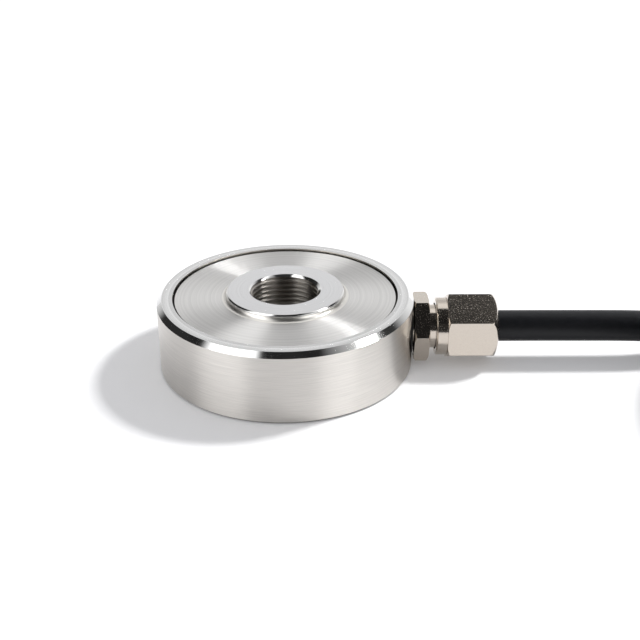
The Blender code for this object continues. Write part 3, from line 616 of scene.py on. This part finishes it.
settle_shading(cap_nut, is_flat=is_hex_flat)
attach(cap_nut, "root")
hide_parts("gland_nut")
print("cap nut faces", len(cap_nut.data.polygons))

# %% [markdown]
# Two soft pieces and a ring make the gland tight. A flat gasket sits in the ring's pocket. The
# grommet is squeezed onto the cable by the nut, through a pressure ring that keeps the turning
# nut from twisting it.

# %% Gasket, grommet and pressure ring
small_turned = {
    "flat_gasket": ("gland_gasket", "black_rubber", [(5.3, 24.8), (5.3, 24.3), (3.7, 24.3), (3.7, 24.8)]),
    "squeezed_grommet": (
        "gland_grommet", "black_rubber", [(4.3, 39.0), (4.3, 36.9), (3.4, 36.0), (3.4, 39.0)]
    ),
    "slip_ring": (
        "gland_pressure_ring", "nickel_plated_brass", [(4.3, 40.1), (4.3, 39.3), (3.4, 39.3), (3.4, 40.1)]
    ),
}
gland_smalls = []
for name, (node_name, slot, outline) in small_turned.items():
    piece = turn_on_lathe(name, outline, 96)
    break_edges(piece, 0.08)
    lay_along_cable(piece)
    settle_shading(piece)
    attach(piece, "root")
    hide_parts(node_name)
    gland_smalls.append(piece)
print("small gland pieces", len(gland_smalls))

# %% [markdown]
# ## The coil's ties
#
# Three hook-and-loop straps hold the coil. Each starts as a square plane whose corners are
# rounded by a vertex bevel. Its outline is extruded to the strap's width and gets its thickness
# from Solidify.

# %% Straps
TIE_WIDTH = 6.0
TIE_THICKNESS = 1.2
TIE_CORNER = 4.3
TIE_ANGLES = (75, 194, 335)
COIL_HALF_SECTION = 9.6
TIE_HALF = COIL_HALF_SECTION + SEAT_GAP / MM + TIE_THICKNESS

straps = []
for number, angle in enumerate(TIE_ANGLES, 1):
    bpy.ops.object.select_all(action="DESELECT")
    bpy.ops.mesh.primitive_plane_add(size=2 * TIE_HALF * MM)
    strap = bpy.context.object
    strap.name = strap.data.name = f"strap_{number}"
    bpy.ops.object.mode_set(mode="EDIT")
    bpy.ops.mesh.select_all(action="SELECT")
    bpy.ops.mesh.bevel(offset=TIE_CORNER * MM, segments=12, affect="VERTICES")
    bpy.ops.mesh.select_all(action="SELECT")
    bpy.ops.mesh.delete(type="ONLY_FACE")
    bpy.ops.mesh.select_all(action="SELECT")
    bpy.ops.transform.translate(value=(0, 0, -TIE_WIDTH / 2 * MM))
    bpy.ops.mesh.extrude_region_move(TRANSFORM_OT_translate={"value": (0, 0, TIE_WIDTH * MM)})
    bpy.ops.mesh.select_all(action="SELECT")
    bpy.ops.mesh.normals_make_consistent(inside=False)
    bpy.ops.object.mode_set(mode="OBJECT")
    apply_modifier(strap, "SOLIDIFY", thickness=TIE_THICKNESS * MM, offset=-1)
    break_edges(strap, 0.2, angle=60)
    pick(strap)
    strap.rotation_euler = (math.pi / 2, 0, math.pi / 2 - math.radians(angle))
    strap.location = on_coil(angle, COIL_MEAN_RADIUS, TIE_HALF * MM)
    bpy.ops.object.transform_apply(location=True, rotation=True, scale=True)
    settle_shading(strap)
    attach(strap, "root")
    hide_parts(f"coil_tie_{number}")
    straps.append(strap)
print("straps", [len(strap.data.polygons) for strap in straps])

# %% [markdown]


# %% [markdown]
# ## Finishes
#
# A helper adds one node and fills its inputs, either with a value or with a link. All patterns
# read Object coordinates. Every piece keeps its place in its mesh, so these are the same for
# all pieces, in metres from the ring's axis.

# %% Node helpers
def add(material, kind, inputs=None, **settings):
    tree = material.node_tree
    made = tree.nodes.new("ShaderNode" + kind)
    for name, value in settings.items():
        setattr(made, name, value)
    for name, value in (inputs or {}).items():
        if isinstance(value, bpy.types.NodeSocket):
            tree.links.new(value, made.inputs[name])
        else:
            made.inputs[name].default_value = value
    return made


def new_finish(name, color, roughness, metallic=0.0, sockets=None):
    material = bpy.data.materials.new(name)
    material.use_nodes = True
    shader = material.node_tree.nodes["Principled BSDF"]
    shader.inputs["Base Color"].default_value = (*color, 1.0)
    shader.inputs["Roughness"].default_value = roughness
    shader.inputs["Metallic"].default_value = metallic
    for socket, value in (sockets or {}).items():
        shader.inputs[socket].default_value = value
    return material, shader


def link(material, output, shader, socket):
    material.node_tree.links.new(output, shader.inputs[socket])


def object_place(material):
    return add(material, "TexCoord").outputs["Object"]


def distance_from_axis(material, axis):
    """How far a point is from the ring's axis Z, or from the gland's axis X."""
    keep = (1, 1, 0) if axis == "Z" else (0, 1, 1)
    centre = (0, 0, 0) if axis == "Z" else (0, 0, -GLAND_HEIGHT)
    moved = add(material, "VectorMath", {0: object_place(material), 1: centre}, operation="ADD")
    flat = add(material, "VectorMath", {0: moved.outputs[0], 1: keep}, operation="MULTIPLY")
    return add(material, "VectorMath", {0: flat.outputs[0]}, operation="LENGTH").outputs["Value"]


def spread(material, value, low, high, start=0.0, end=1.0):
    """Maps a pattern from its range start to end onto the range low to high."""
    made = add(
        material, "MapRange",
        {"Value": value, "From Min": start, "From Max": end, "To Min": low, "To Max": high},
    )
    return made.outputs["Result"]


def tint(material, value, dark, light):
    mixed = add(material, "Mix", {"Factor": value}, data_type="RGBA")
    mixed.inputs[6].default_value = (*dark, 1)
    mixed.inputs[7].default_value = (*light, 1)
    return mixed.outputs[2]


def bump(material, shader, height, distance, strength=1.0):
    made = add(material, "Bump", {"Height": height, "Distance": distance, "Strength": strength})
    link(material, made.outputs["Normal"], shader, "Normal")


# %% [markdown]
# Turned steel has fine circles left by the tool. They smear each reflection across them, so a
# turned face shows bright rays from its centre. The shader's Anisotropic value does this, and
# needs to know which way the circles run. The Tangent node gives the direction round the axis,
# and a rotation of a quarter turn lets the light spread across the circles and not along them.
# One-dimensional noise of the distance from the axis draws the circles that the eye can see.

# %% Turned steel
STEEL = (0.70, 0.69, 0.675)
QUARTER_TURN = 0.25


def shade(color, share):
    return tuple(share * channel for channel in color)


def groove_round(material, shader, axis, anisotropic):
    tangent = add(material, "Tangent", direction_type="RADIAL", axis=axis)
    link(material, tangent.outputs["Tangent"], shader, "Tangent")
    shader.inputs["Anisotropic"].default_value = anisotropic
    shader.inputs["Anisotropic Rotation"].default_value = QUARTER_TURN


def turned_steel(name, roughness, anisotropic, fine, coarse, groove, axis="Z", color=STEEL, contrast=0.13):
    material, shader = new_finish(name, color, roughness, 1.0)
    groove_round(material, shader, axis, anisotropic)
    reach = distance_from_axis(material, axis)
    circles = add(material, "TexNoise", {"W": reach, "Scale": fine, "Detail": 2}, noise_dimensions="1D")
    bands = add(material, "TexNoise", {"W": reach, "Scale": coarse, "Detail": 3}, noise_dimensions="1D")
    both = add(material, "Math", {0: circles.outputs[0], 1: bands.outputs[0]}, operation="ADD")
    bump(material, shader, both.outputs[0], groove * MM)
    pattern = spread(material, both.outputs[0], 0, 1, 0.75, 1.25)
    tinted = tint(material, pattern, shade(color, 0.97 - contrast), shade(color, 0.97 + contrast))
    link(material, tinted, shader, "Base Color")
    polish = spread(material, circles.outputs[0], roughness * 0.8, roughness * 1.2)
    link(material, polish, shader, "Roughness")
    return material


rim_finish = turned_steel("rim_turned", 0.24, 0.7, 9000, 1500, 0.0008, color=(0.73, 0.73, 0.73))
plate_finish = turned_steel(
    "plate_turned", 0.38, 1.0, 7000, 1800, 0.002, color=(0.76, 0.752, 0.742), contrast=0.06
)
boss_finish = turned_steel(
    "boss_fine_turned", 0.2, 0.3, 12000, 3000, 0.0003, color=(0.7, 0.7, 0.71), contrast=0.04
)
# Painted shade: the bore's steel is coloured dark and brownish, for the shade inside the bore.
bore_finish = turned_steel("bore_cut", 0.34, 0.9, 5000, 900, 0.0003, color=(0.42, 0.395, 0.365))
# Painted shade: this rough steel is coloured nearly black, for the shade deep in the groove round the plate
# and along the ring's foot on the table.
painted_slot_shade = turned_steel("slot_rough_with_painted_shade", 0.45, 0.0, 5000, 900, 0.001, color=(0.22, 0.21, 0.2))
fillet_finish = turned_steel("fillet_turned", 0.32, 0.5, 9000, 2000, 0.0005, color=(0.74, 0.72, 0.685))
gland_turned = turned_steel("nickel_turned", 0.22, 0.5, 6000, 1500, 0.0008, "X", (0.71, 0.67, 0.61))

# %% [markdown]
# Deep in the narrow groove round the plate the steel is dull, and its colour is painted dark as shade. On
# the ring's wall the painted shade fades out only near the top, so its colour changes with height.

# %% Groove wall
PAINTED_SHADE_TOP, PAINTED_SHADE_FADE_TOP = 13.75 * MM, 14.15 * MM
# Painted shade: the wall is nearly black low in the groove and turns to light steel near the rim's top.
wall_finish, wall_shader = new_finish("groove_wall", (0.4, 0.38, 0.35), 0.35, 1.0)
wall_place = add(wall_finish, "SeparateXYZ", {0: object_place(wall_finish)})
out_of_painted_shade = spread(wall_finish, wall_place.outputs["Z"], 0, 1, PAINTED_SHADE_TOP, PAINTED_SHADE_FADE_TOP)
link(wall_finish, tint(wall_finish, out_of_painted_shade, (0.18, 0.17, 0.16), (0.64, 0.6, 0.54)), wall_shader, "Base Color")

# %% [markdown]
# The chamfers are polished. They reflect the room like a mirror and have almost no pattern,
# only the faint waviness of hand polishing. The boss's fillet is turned a little rougher.


# %% Polished steel
def polished(name, color, roughness, waviness):
    material, shader = new_finish(name, color, roughness, 1.0)
    noise = add(material, "TexNoise", {"Vector": object_place(material), "Scale": 350, "Detail": 3})
    bump(material, shader, noise.outputs[0], waviness * MM)
    link(material, spread(material, noise.outputs[0], roughness * 0.7, roughness * 1.3), shader, "Roughness")
    return material


edge_finish = polished("edge_polished", (0.76, 0.76, 0.755), 0.09, 0.002)

# %% [markdown]
# The ring's side was brushed while it turned in the lathe. The scratches are long and level, so
# the noise is squeezed along Z, and reflections smear up and down into upright bands.


# %% Brushed side
SIDE_STEEL = (0.68, 0.655, 0.622)
side_finish, side_shader = new_finish("side_brushed", SIDE_STEEL, 0.36, 1.0)
groove_round(side_finish, side_shader, "Z", 0.92)
squeezed = add(
    side_finish, "Mapping", {"Vector": object_place(side_finish), "Scale": (1, 1, 60)}
).outputs["Vector"]
scratches = add(side_finish, "TexNoise", {"Vector": squeezed, "Scale": 120, "Detail": 5, "Roughness": 0.7})
bump(side_finish, side_shader, scratches.outputs[0], 0.0012 * MM)
side_tint = tint(side_finish, scratches.outputs[0], shade(SIDE_STEEL, 0.72), shade(SIDE_STEEL, 1.25))
link(side_finish, side_tint, side_shader, "Base Color")
link(side_finish, spread(side_finish, scratches.outputs[0], 0.3, 0.42), side_shader, "Roughness")

# %% [markdown]
# Nickel plating is warmer than steel. It follows the slightly rough brass below: small pores
# are duller than the rest and show as fine light specks where the face mirrors something dark.


# %% Nickel plating
def nickel_plating(name):
    material, shader = new_finish(name, (0.54, 0.488, 0.43), 0.2, 1.0)
    place = object_place(material)
    grain = add(material, "TexNoise", {"Vector": place, "Scale": 4200, "Detail": 3, "Roughness": 0.6})
    swells = add(material, "TexNoise", {"Vector": place, "Scale": 420, "Detail": 2})
    swelling = add(material, "Math", {0: grain.outputs[0], 1: swells.outputs[0]}, operation="MULTIPLY")
    bump(material, shader, swelling.outputs[0], 0.006 * MM)
    tinted = tint(material, grain.outputs[0], (0.49, 0.435, 0.383), (0.59, 0.54, 0.477))
    link(material, tinted, shader, "Base Color")
    pores = spread(material, grain.outputs[0], 0.13, 0.3, 0.55, 0.68)
    link(material, pores, shader, "Roughness")
    return material


nickel_finish = nickel_plating("nickel_plated")

# %% [markdown]
# The jacket is matt plastic. Extruding leaves it slightly uneven, which breaks the long
# highlight on its top into soft mottles. Rubber is duller still.


# %% Plastics, rubber and cloth
def moulded(name, color, roughness, scale, depth, sockets=None):
    material, shader = new_finish(name, color, roughness, 0.0, sockets)
    noise = add(material, "TexNoise", {"Vector": object_place(material), "Scale": scale, "Detail": 4})
    bump(material, shader, noise.outputs[0], depth * MM)
    tinted = tint(material, noise.outputs[0], shade(color, 0.8), shade(color, 1.2))
    link(material, tinted, shader, "Base Color")
    dullness = spread(material, noise.outputs[0], roughness * 0.85, roughness * 1.15)
    link(material, dullness, shader, "Roughness")
    return material


jacket_finish = moulded(
    "jacket_matt", (0.0035, 0.004, 0.0055), 0.42, 900, 0.05, {"Specular IOR Level": 0.26}
)
rubber_finish = moulded("rubber_dull", (0.012, 0.012, 0.012), 0.7, 1500, 0.03)
sleeve_finish = moulded("sleeve_shrunk", (0.015, 0.015, 0.016), 0.45, 500, 0.06)
core_finishes = {
    "red": moulded("core_red_insulation", (0.5, 0.02, 0.02), 0.35, 1200, 0.01),
    "black": moulded("core_black_insulation", (0.02, 0.02, 0.022), 0.35, 1200, 0.01),
    "green": moulded("core_green_insulation", (0.02, 0.25, 0.06), 0.35, 1200, 0.01),
    "white": moulded("core_white_insulation", (0.72, 0.72, 0.7), 0.35, 1200, 0.01),
}

strap_finish, strap_shader = new_finish("strap_loops", (0.02, 0.02, 0.021), 0.9, 0.0)
loops = add(strap_finish, "TexVoronoi", {"Vector": object_place(strap_finish), "Scale": 2200})
bump(strap_finish, strap_shader, loops.outputs["Distance"], 0.15 * MM)
strap_tint = tint(strap_finish, loops.outputs["Distance"], (0.035, 0.035, 0.037), (0.008, 0.008, 0.008))
link(strap_finish, strap_tint, strap_shader, "Base Color")

# %% [markdown]
# Inside the ring are a green terminal board, amber gauge films and enamelled wires. They can't
# be seen in the assembled sensor, but the part may be opened or cut in a later picture.

# %% Inner finishes
board_finish, board_shader = new_finish("board_green", (0.02, 0.14, 0.05), 0.4)
glass_weave = add(
    board_finish, "TexVoronoi", {"Vector": object_place(board_finish), "Scale": 1800}, distance="CHEBYCHEV"
).outputs["Distance"]
bump(board_finish, board_shader, glass_weave, 0.02 * MM)
board_tint = tint(board_finish, glass_weave, (0.015, 0.1, 0.035), (0.03, 0.2, 0.07))
link(board_finish, board_tint, board_shader, "Base Color")
film_finish = moulded("film_amber", (0.55, 0.3, 0.06), 0.3, 2500, 0.005)
enamel_finish = moulded("enamel_copper", (0.42, 0.12, 0.03), 0.3, 1800, 0.005)
tin_finish = polished("tin_dipped", (0.72, 0.71, 0.69), 0.28, 0.02)
cover_finish = turned_steel("cover_turned", 0.3, 0.7, 6000, 1000, 0.001)


# %% [markdown]
# ## Giving out the finishes
#
# A piece gets one finish all over, and then others on the faces that are picked by their place
# and direction. A CAD node keeps its mesh, so it only gets a new material.

# %% Assign finishes
def give(piece, finish, wanted=None):
    """Puts a finish on the faces for which wanted(centre, normal) is true, in millimetres."""
    piece.data.materials.append(finish)
    if wanted is None:
        return
    pick(piece)
    bpy.ops.object.mode_set(mode="EDIT")
    bpy.ops.mesh.select_mode(type="FACE")
    bpy.ops.mesh.select_all(action="DESELECT")
    bpy.ops.object.mode_set(mode="OBJECT")
    for face in piece.data.polygons:
        face.select = wanted(face.center / MM, face.normal)
    piece.active_material_index = len(piece.data.materials) - 1
    bpy.ops.object.mode_set(mode="EDIT")
    bpy.ops.object.material_slot_assign()
    bpy.ops.object.mode_set(mode="OBJECT")


def reach(place):
    return math.hypot(place.x, place.y)


# A face is level where its normal's Z is above LEVEL, and upright where it is below UPRIGHT.
LEVEL, UPRIGHT = 0.95, 0.5
rim_edge = RING_RADIUS - RIM_CHAMFER - 0.15
boss_edge = BOSS_RADIUS - BOSS_CHAMFER - 0.05
boss_foot = BOSS_RADIUS + BOSS_FILLET + 0.1

give(outer_ring, side_finish)
give(outer_ring, rim_finish, lambda c, n: abs(n.z) > LEVEL or reach(c) < rim_edge)
give(outer_ring, edge_finish, lambda c, n: 0.3 < abs(n.z) < LEVEL and reach(c) > rim_edge)

give(threaded_body, plate_finish)
give(threaded_body, boss_finish, lambda c, n: n.z > LEVEL and c.z > BOSS_HEIGHT - 0.05)
give(
    threaded_body, fillet_finish,
    lambda c, n: boss_edge < reach(c) < boss_foot and PLATE_HEIGHT < c.z and n.z < 0.99,
)
give(
    threaded_body, edge_finish,
    lambda c, n: boss_edge < reach(c) < BOSS_RADIUS + 0.1 and BOSS_HEIGHT - 0.4 < c.z and n.z < 0.97,
)
give(threaded_body, bore_finish, lambda c, n: reach(c) < ROOT_RADIUS + 0.01 and n.z < LEVEL)
# Painted shade on the plate's outer wall, deep in the groove.
give(threaded_body, painted_slot_shade, lambda c, n: PLATE_RADIUS - 0.12 < reach(c) and n.z < UPRIGHT)
# Painted shade: the ring's wall of the groove gets the colour that is dark low down.
give(
    outer_ring, wall_finish,
    lambda c, n: abs(reach(c) - GROOVE_RADIUS) < 0.05 and abs(n.z) < UPRIGHT and c.z > LEDGE_HEIGHT,
)
# Painted shade on the ring's bottom chamfer, as a contact shadow along the table.
give(
    outer_ring, painted_slot_shade,
    lambda c, n: reach(c) > RING_RADIUS - 0.5 and c.z < BASE_CHAMFER + 0.05 and n.z < -0.3,
)
give(
    threaded_body, edge_finish,
    lambda c, n: BORE_RADIUS - 0.01 < reach(c) < ROOT_RADIUS + 0.2 and UPRIGHT < n.z < 0.97
    and c.z > BOSS_HEIGHT - BORE_CHAMFER - 0.02,
)

for piece in (gland_stem, cap_nut):
    give(piece, nickel_finish)
give(gland_stem, gland_turned, lambda c, n: BODY_HEX_END - 0.01 < c.x < COLLAR_START + 0.4)
gland_smalls[0].data.materials.append(rubber_finish)
gland_smalls[1].data.materials.append(rubber_finish)
gland_smalls[2].data.materials.append(gland_turned)
cable.data.materials.append(jacket_finish)
sleeve.data.materials.append(sleeve_finish)
for color, lead in bare_leads.items():
    lead.data.materials.append(core_finishes[color])
for piece in tinned_tips:
    piece.data.materials.append(tin_finish)
for piece in straps:
    piece.data.materials.append(strap_finish)

node_finishes = {
    "base_cover": cover_finish, "hub_seal": rubber_finish, "terminal_board": board_finish,
    "strain_gauge": film_finish, "gauge_wire": enamel_finish,
}
for name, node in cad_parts.items():
    for start, finish in node_finishes.items():
        if name.startswith(start):
            node.data.materials.clear()
            node.data.materials.append(finish)
    if name.startswith("inner_core"):
        node.data.materials.clear()
        node.data.materials.append(core_finishes[name.split("_")[-1]])
print("finishes", len(bpy.data.materials))

# %% [markdown]
# ## Table and light
#
# The photograph has a white table that runs into a white wall. One large plane is enough. Its
# material is plain white paint, which takes shadows. The camera and the reflections also see a
# little white of its own, so that the lit table is pure white beside a soft grey shadow. Far
# from the lamp it gets more of that white, or the table would turn grey towards the horizon.

# %% Table
bpy.ops.object.select_all(action="DESELECT")
bpy.ops.mesh.primitive_plane_add(size=6, location=(0, 0, -0.01 * MM))
table = bpy.context.object
table.name = "table"
table_finish = bpy.data.materials.new("table_white")
table_finish.use_nodes = True
table_nodes = table_finish.node_tree.nodes
table_nodes.remove(table_nodes["Principled BSDF"])


def seen_by(owner, *rays):
    """1 for the named kinds of ray, such as Is Camera Ray, and 0 for all others."""
    path = add(owner, "LightPath")
    seen = path.outputs[rays[0]]
    for ray in rays[1:]:
        seen = add(owner, "Math", {0: seen, 1: path.outputs[ray]}, operation="MAXIMUM").outputs[0]
    return seen


paint = add(table_finish, "BsdfDiffuse", {"Color": (0.88, 0.88, 0.885, 1)})
away = add(table_finish, "VectorMath", {0: object_place(table_finish)}, operation="LENGTH")
whitening = spread(table_finish, away.outputs["Value"], 0.13, 0.5, 0.3, 1.0)
lift = add(table_finish, "Emission", {"Color": (1, 1, 1, 1), "Strength": whitening})
no_lift = add(table_finish, "Emission", {"Strength": 0.0})
looks = seen_by(table_finish, "Is Camera Ray", "Is Glossy Ray", "Is Transmission Ray")
shown_lift = add(table_finish, "MixShader", {0: looks, 1: no_lift.outputs[0], 2: lift.outputs[0]})
total = add(table_finish, "AddShader", {0: paint.outputs[0], 1: shown_lift.outputs[0]})
table_finish.node_tree.links.new(total.outputs[0], table_nodes["Material Output"].inputs["Surface"])
table.data.materials.append(table_finish)

# %% [markdown]
# Steel has almost no colour of its own: what it shows is the room. The photograph's reflections
# tell where the studio's white screens stood. They are drawn here on the world, as two rings of
# white and dark stretches that meet at about 34 degrees above the table. Behind the sensor
# there is also a light ceiling, but straight above and in front the room is dark, or the
# polished edges would vanish into white. The lamp itself is a small bright patch: its smeared
# image is the pair of rays on the turned plate. Rays that only light the object see an even,
# plain room, and the camera sees plain white.

# %% Room
world = bpy.context.scene.world or bpy.data.worlds.new("room")
bpy.context.scene.world = world
world.use_nodes = True
world.node_tree.nodes.clear()
room_direction = add(world, "TexCoord").outputs["Generated"]
direction = add(world, "SeparateXYZ", {0: room_direction})
to_front = add(world, "Math", {0: direction.outputs["Y"], 1: -1.0}, operation="MULTIPLY")
bearing = add(world, "Math", {0: direction.outputs["X"], 1: to_front.outputs[0]}, operation="ARCTAN2")
round_share = add(
    world, "MapRange", {"Value": bearing.outputs[0], "From Min": -math.pi, "From Max": math.pi}
)
SCREEN_LIGHT = 2.3
CEILING_LIGHT = 1.3
DIM_LIGHT = 0.8
DARK_LIGHT = 0.035
LAMP_LIGHT = 22
PLAIN_LIGHT = 0.57
DARK_TOP = (0.05, -0.156, 0.986)
LAMP_IMAGE = (0.743, 0.013, 0.669)


def screens(stops):
    """A ring of screens: bearings in degrees, 0 in front and 90 on the right, with their light."""
    ring = add(world, "ValToRGB", {0: round_share.outputs["Result"]})
    marks = ring.color_ramp.elements
    while len(marks) > 1:
        marks.remove(marks[-1])
    for number, (degrees, light) in enumerate(stops):
        share = (degrees + 180) / 360
        mark = marks[0] if number == 0 else marks.new(share)
        mark.position = share
        mark.color = (*[light / SCREEN_LIGHT] * 3, 1)
    return ring.outputs["Color"]


low_screens = screens((
    (-180, 1.0), (-148, 0.9), (-138, 0.6), (-130, 0.03), (-82, 0.03), (-72, 2.3), (-38, 2.3),
    (-28, 0.04), (24, 0.04), (38, 2.3), (58, 2.3), (68, 0.8), (96, 0.6), (105, 0.04), (115, 0.04),
    (127, 0.65), (140, 1.0), (180, 1.0),
))
high_screens = screens((
    (-180, 1.0), (-148, 0.9), (-138, 0.6), (-130, 0.02), (-88, 0.02), (-78, 1.9), (-38, 1.9),
    (-29, 0.02), (43, 0.02), (54, 0.22), (75, 0.6), (82, 1.2), (95, 1.5), (99, 0.5), (106, 0.08),
    (114, 0.05), (127, 0.65), (140, 1.0), (180, 1.0),
))


def soft_step(value, start, end):
    """Climbs from 0 at start to 1 at end."""
    made = add(
        world, "MapRange", {"Value": value, "From Min": start, "From Max": end},
        interpolation_type="SMOOTHSTEP",
    )
    return made.outputs["Result"]


def near(place, outer, inner):
    """1 within inner degrees of a direction, and 0 beyond outer degrees."""
    along = add(world, "VectorMath", {0: room_direction, 1: place}, operation="DOT_PRODUCT")
    return soft_step(along.outputs["Value"], math.cos(math.radians(outer)), math.cos(math.radians(inner)))


def lay_over(below, share, above):
    """Covers what is below with a plain light, or with another pattern, where share is 1."""
    made = add(world, "Mix", {"Factor": share}, data_type="RGBA")
    world.node_tree.links.new(below, made.inputs[6])
    if isinstance(above, bpy.types.NodeSocket):
        world.node_tree.links.new(above, made.inputs[7])
    else:
        made.inputs[7].default_value = (*[above / SCREEN_LIGHT] * 3, 1)
    return made.outputs[2]


walls = lay_over(low_screens, soft_step(direction.outputs["Z"], 0.52, 0.60), high_screens)
far_behind = soft_step(direction.outputs["Y"], 0.6, 0.8)
above_edge = soft_step(direction.outputs["Z"], 0.40, 0.50)
dimmed = add(world, "Math", {0: far_behind, 1: above_edge}, operation="MULTIPLY").outputs[0]
walls = lay_over(walls, dimmed, DIM_LIGHT)
behind = soft_step(direction.outputs["Y"], 0.03, 0.12)
high_up = soft_step(direction.outputs["Z"], 0.77, 0.83)
high_behind = add(world, "Math", {0: behind, 1: high_up}, operation="MULTIPLY").outputs[0]
with_ceiling = lay_over(walls, high_behind, CEILING_LIGHT)
with_dark_top = lay_over(with_ceiling, near(DARK_TOP, 21, 17), DARK_LIGHT)
all_lights = lay_over(with_dark_top, near(LAMP_IMAGE, 8, 4), LAMP_LIGHT)
mirrored = add(world, "Background", {"Color": all_lights, "Strength": SCREEN_LIGHT})
plain = add(world, "Background", {"Color": (0.965, 0.97, 1.0, 1), "Strength": PLAIN_LIGHT})
white = add(world, "Background", {"Color": (1, 1, 1, 1), "Strength": 1.0})
shiny = seen_by(world, "Is Glossy Ray", "Is Transmission Ray")
for_objects = add(world, "MixShader", {0: shiny, 1: plain.outputs[0], 2: mirrored.outputs[0]})
for_all = add(
    world, "MixShader", {0: seen_by(world, "Is Camera Ray"), 1: for_objects.outputs[0], 2: white.outputs[0]}
)
add(world, "OutputWorld", {"Surface": for_all.outputs[0]})
world.cycles.sampling_method = "NONE"

# %% [markdown]
# The key lamp stands behind the sensor on the right and throws the shadow to the front left.
# Reflections leave it out, because its patch on the world already stands in them.


# %% Lamps
def soft_panel(name, place, size, power, aim=(0, 0, 0.007)):
    """A square area lamp at a place in metres, turned towards the sensor."""
    bpy.ops.object.light_add(type="AREA", location=place)
    lamp = bpy.context.object
    lamp.name = name
    lamp.data.shape = "SQUARE"
    lamp.data.size = size
    lamp.data.energy = power
    towards = Vector(aim) - Vector(place)
    lamp.rotation_euler = towards.to_track_quat("-Z", "Y").to_euler()
    return lamp


KEY_PLACE = (0.52, 0.27, 0.60)
KEY_SIZE = 0.12
KEY_POWER = 6.8
key = soft_panel("key_panel", KEY_PLACE, KEY_SIZE, KEY_POWER)
key.visible_glossy = False
print("lamp", key.name, key.data.energy, "W")

# %% Colour settings
bpy.context.scene.view_settings.view_transform = "Standard"
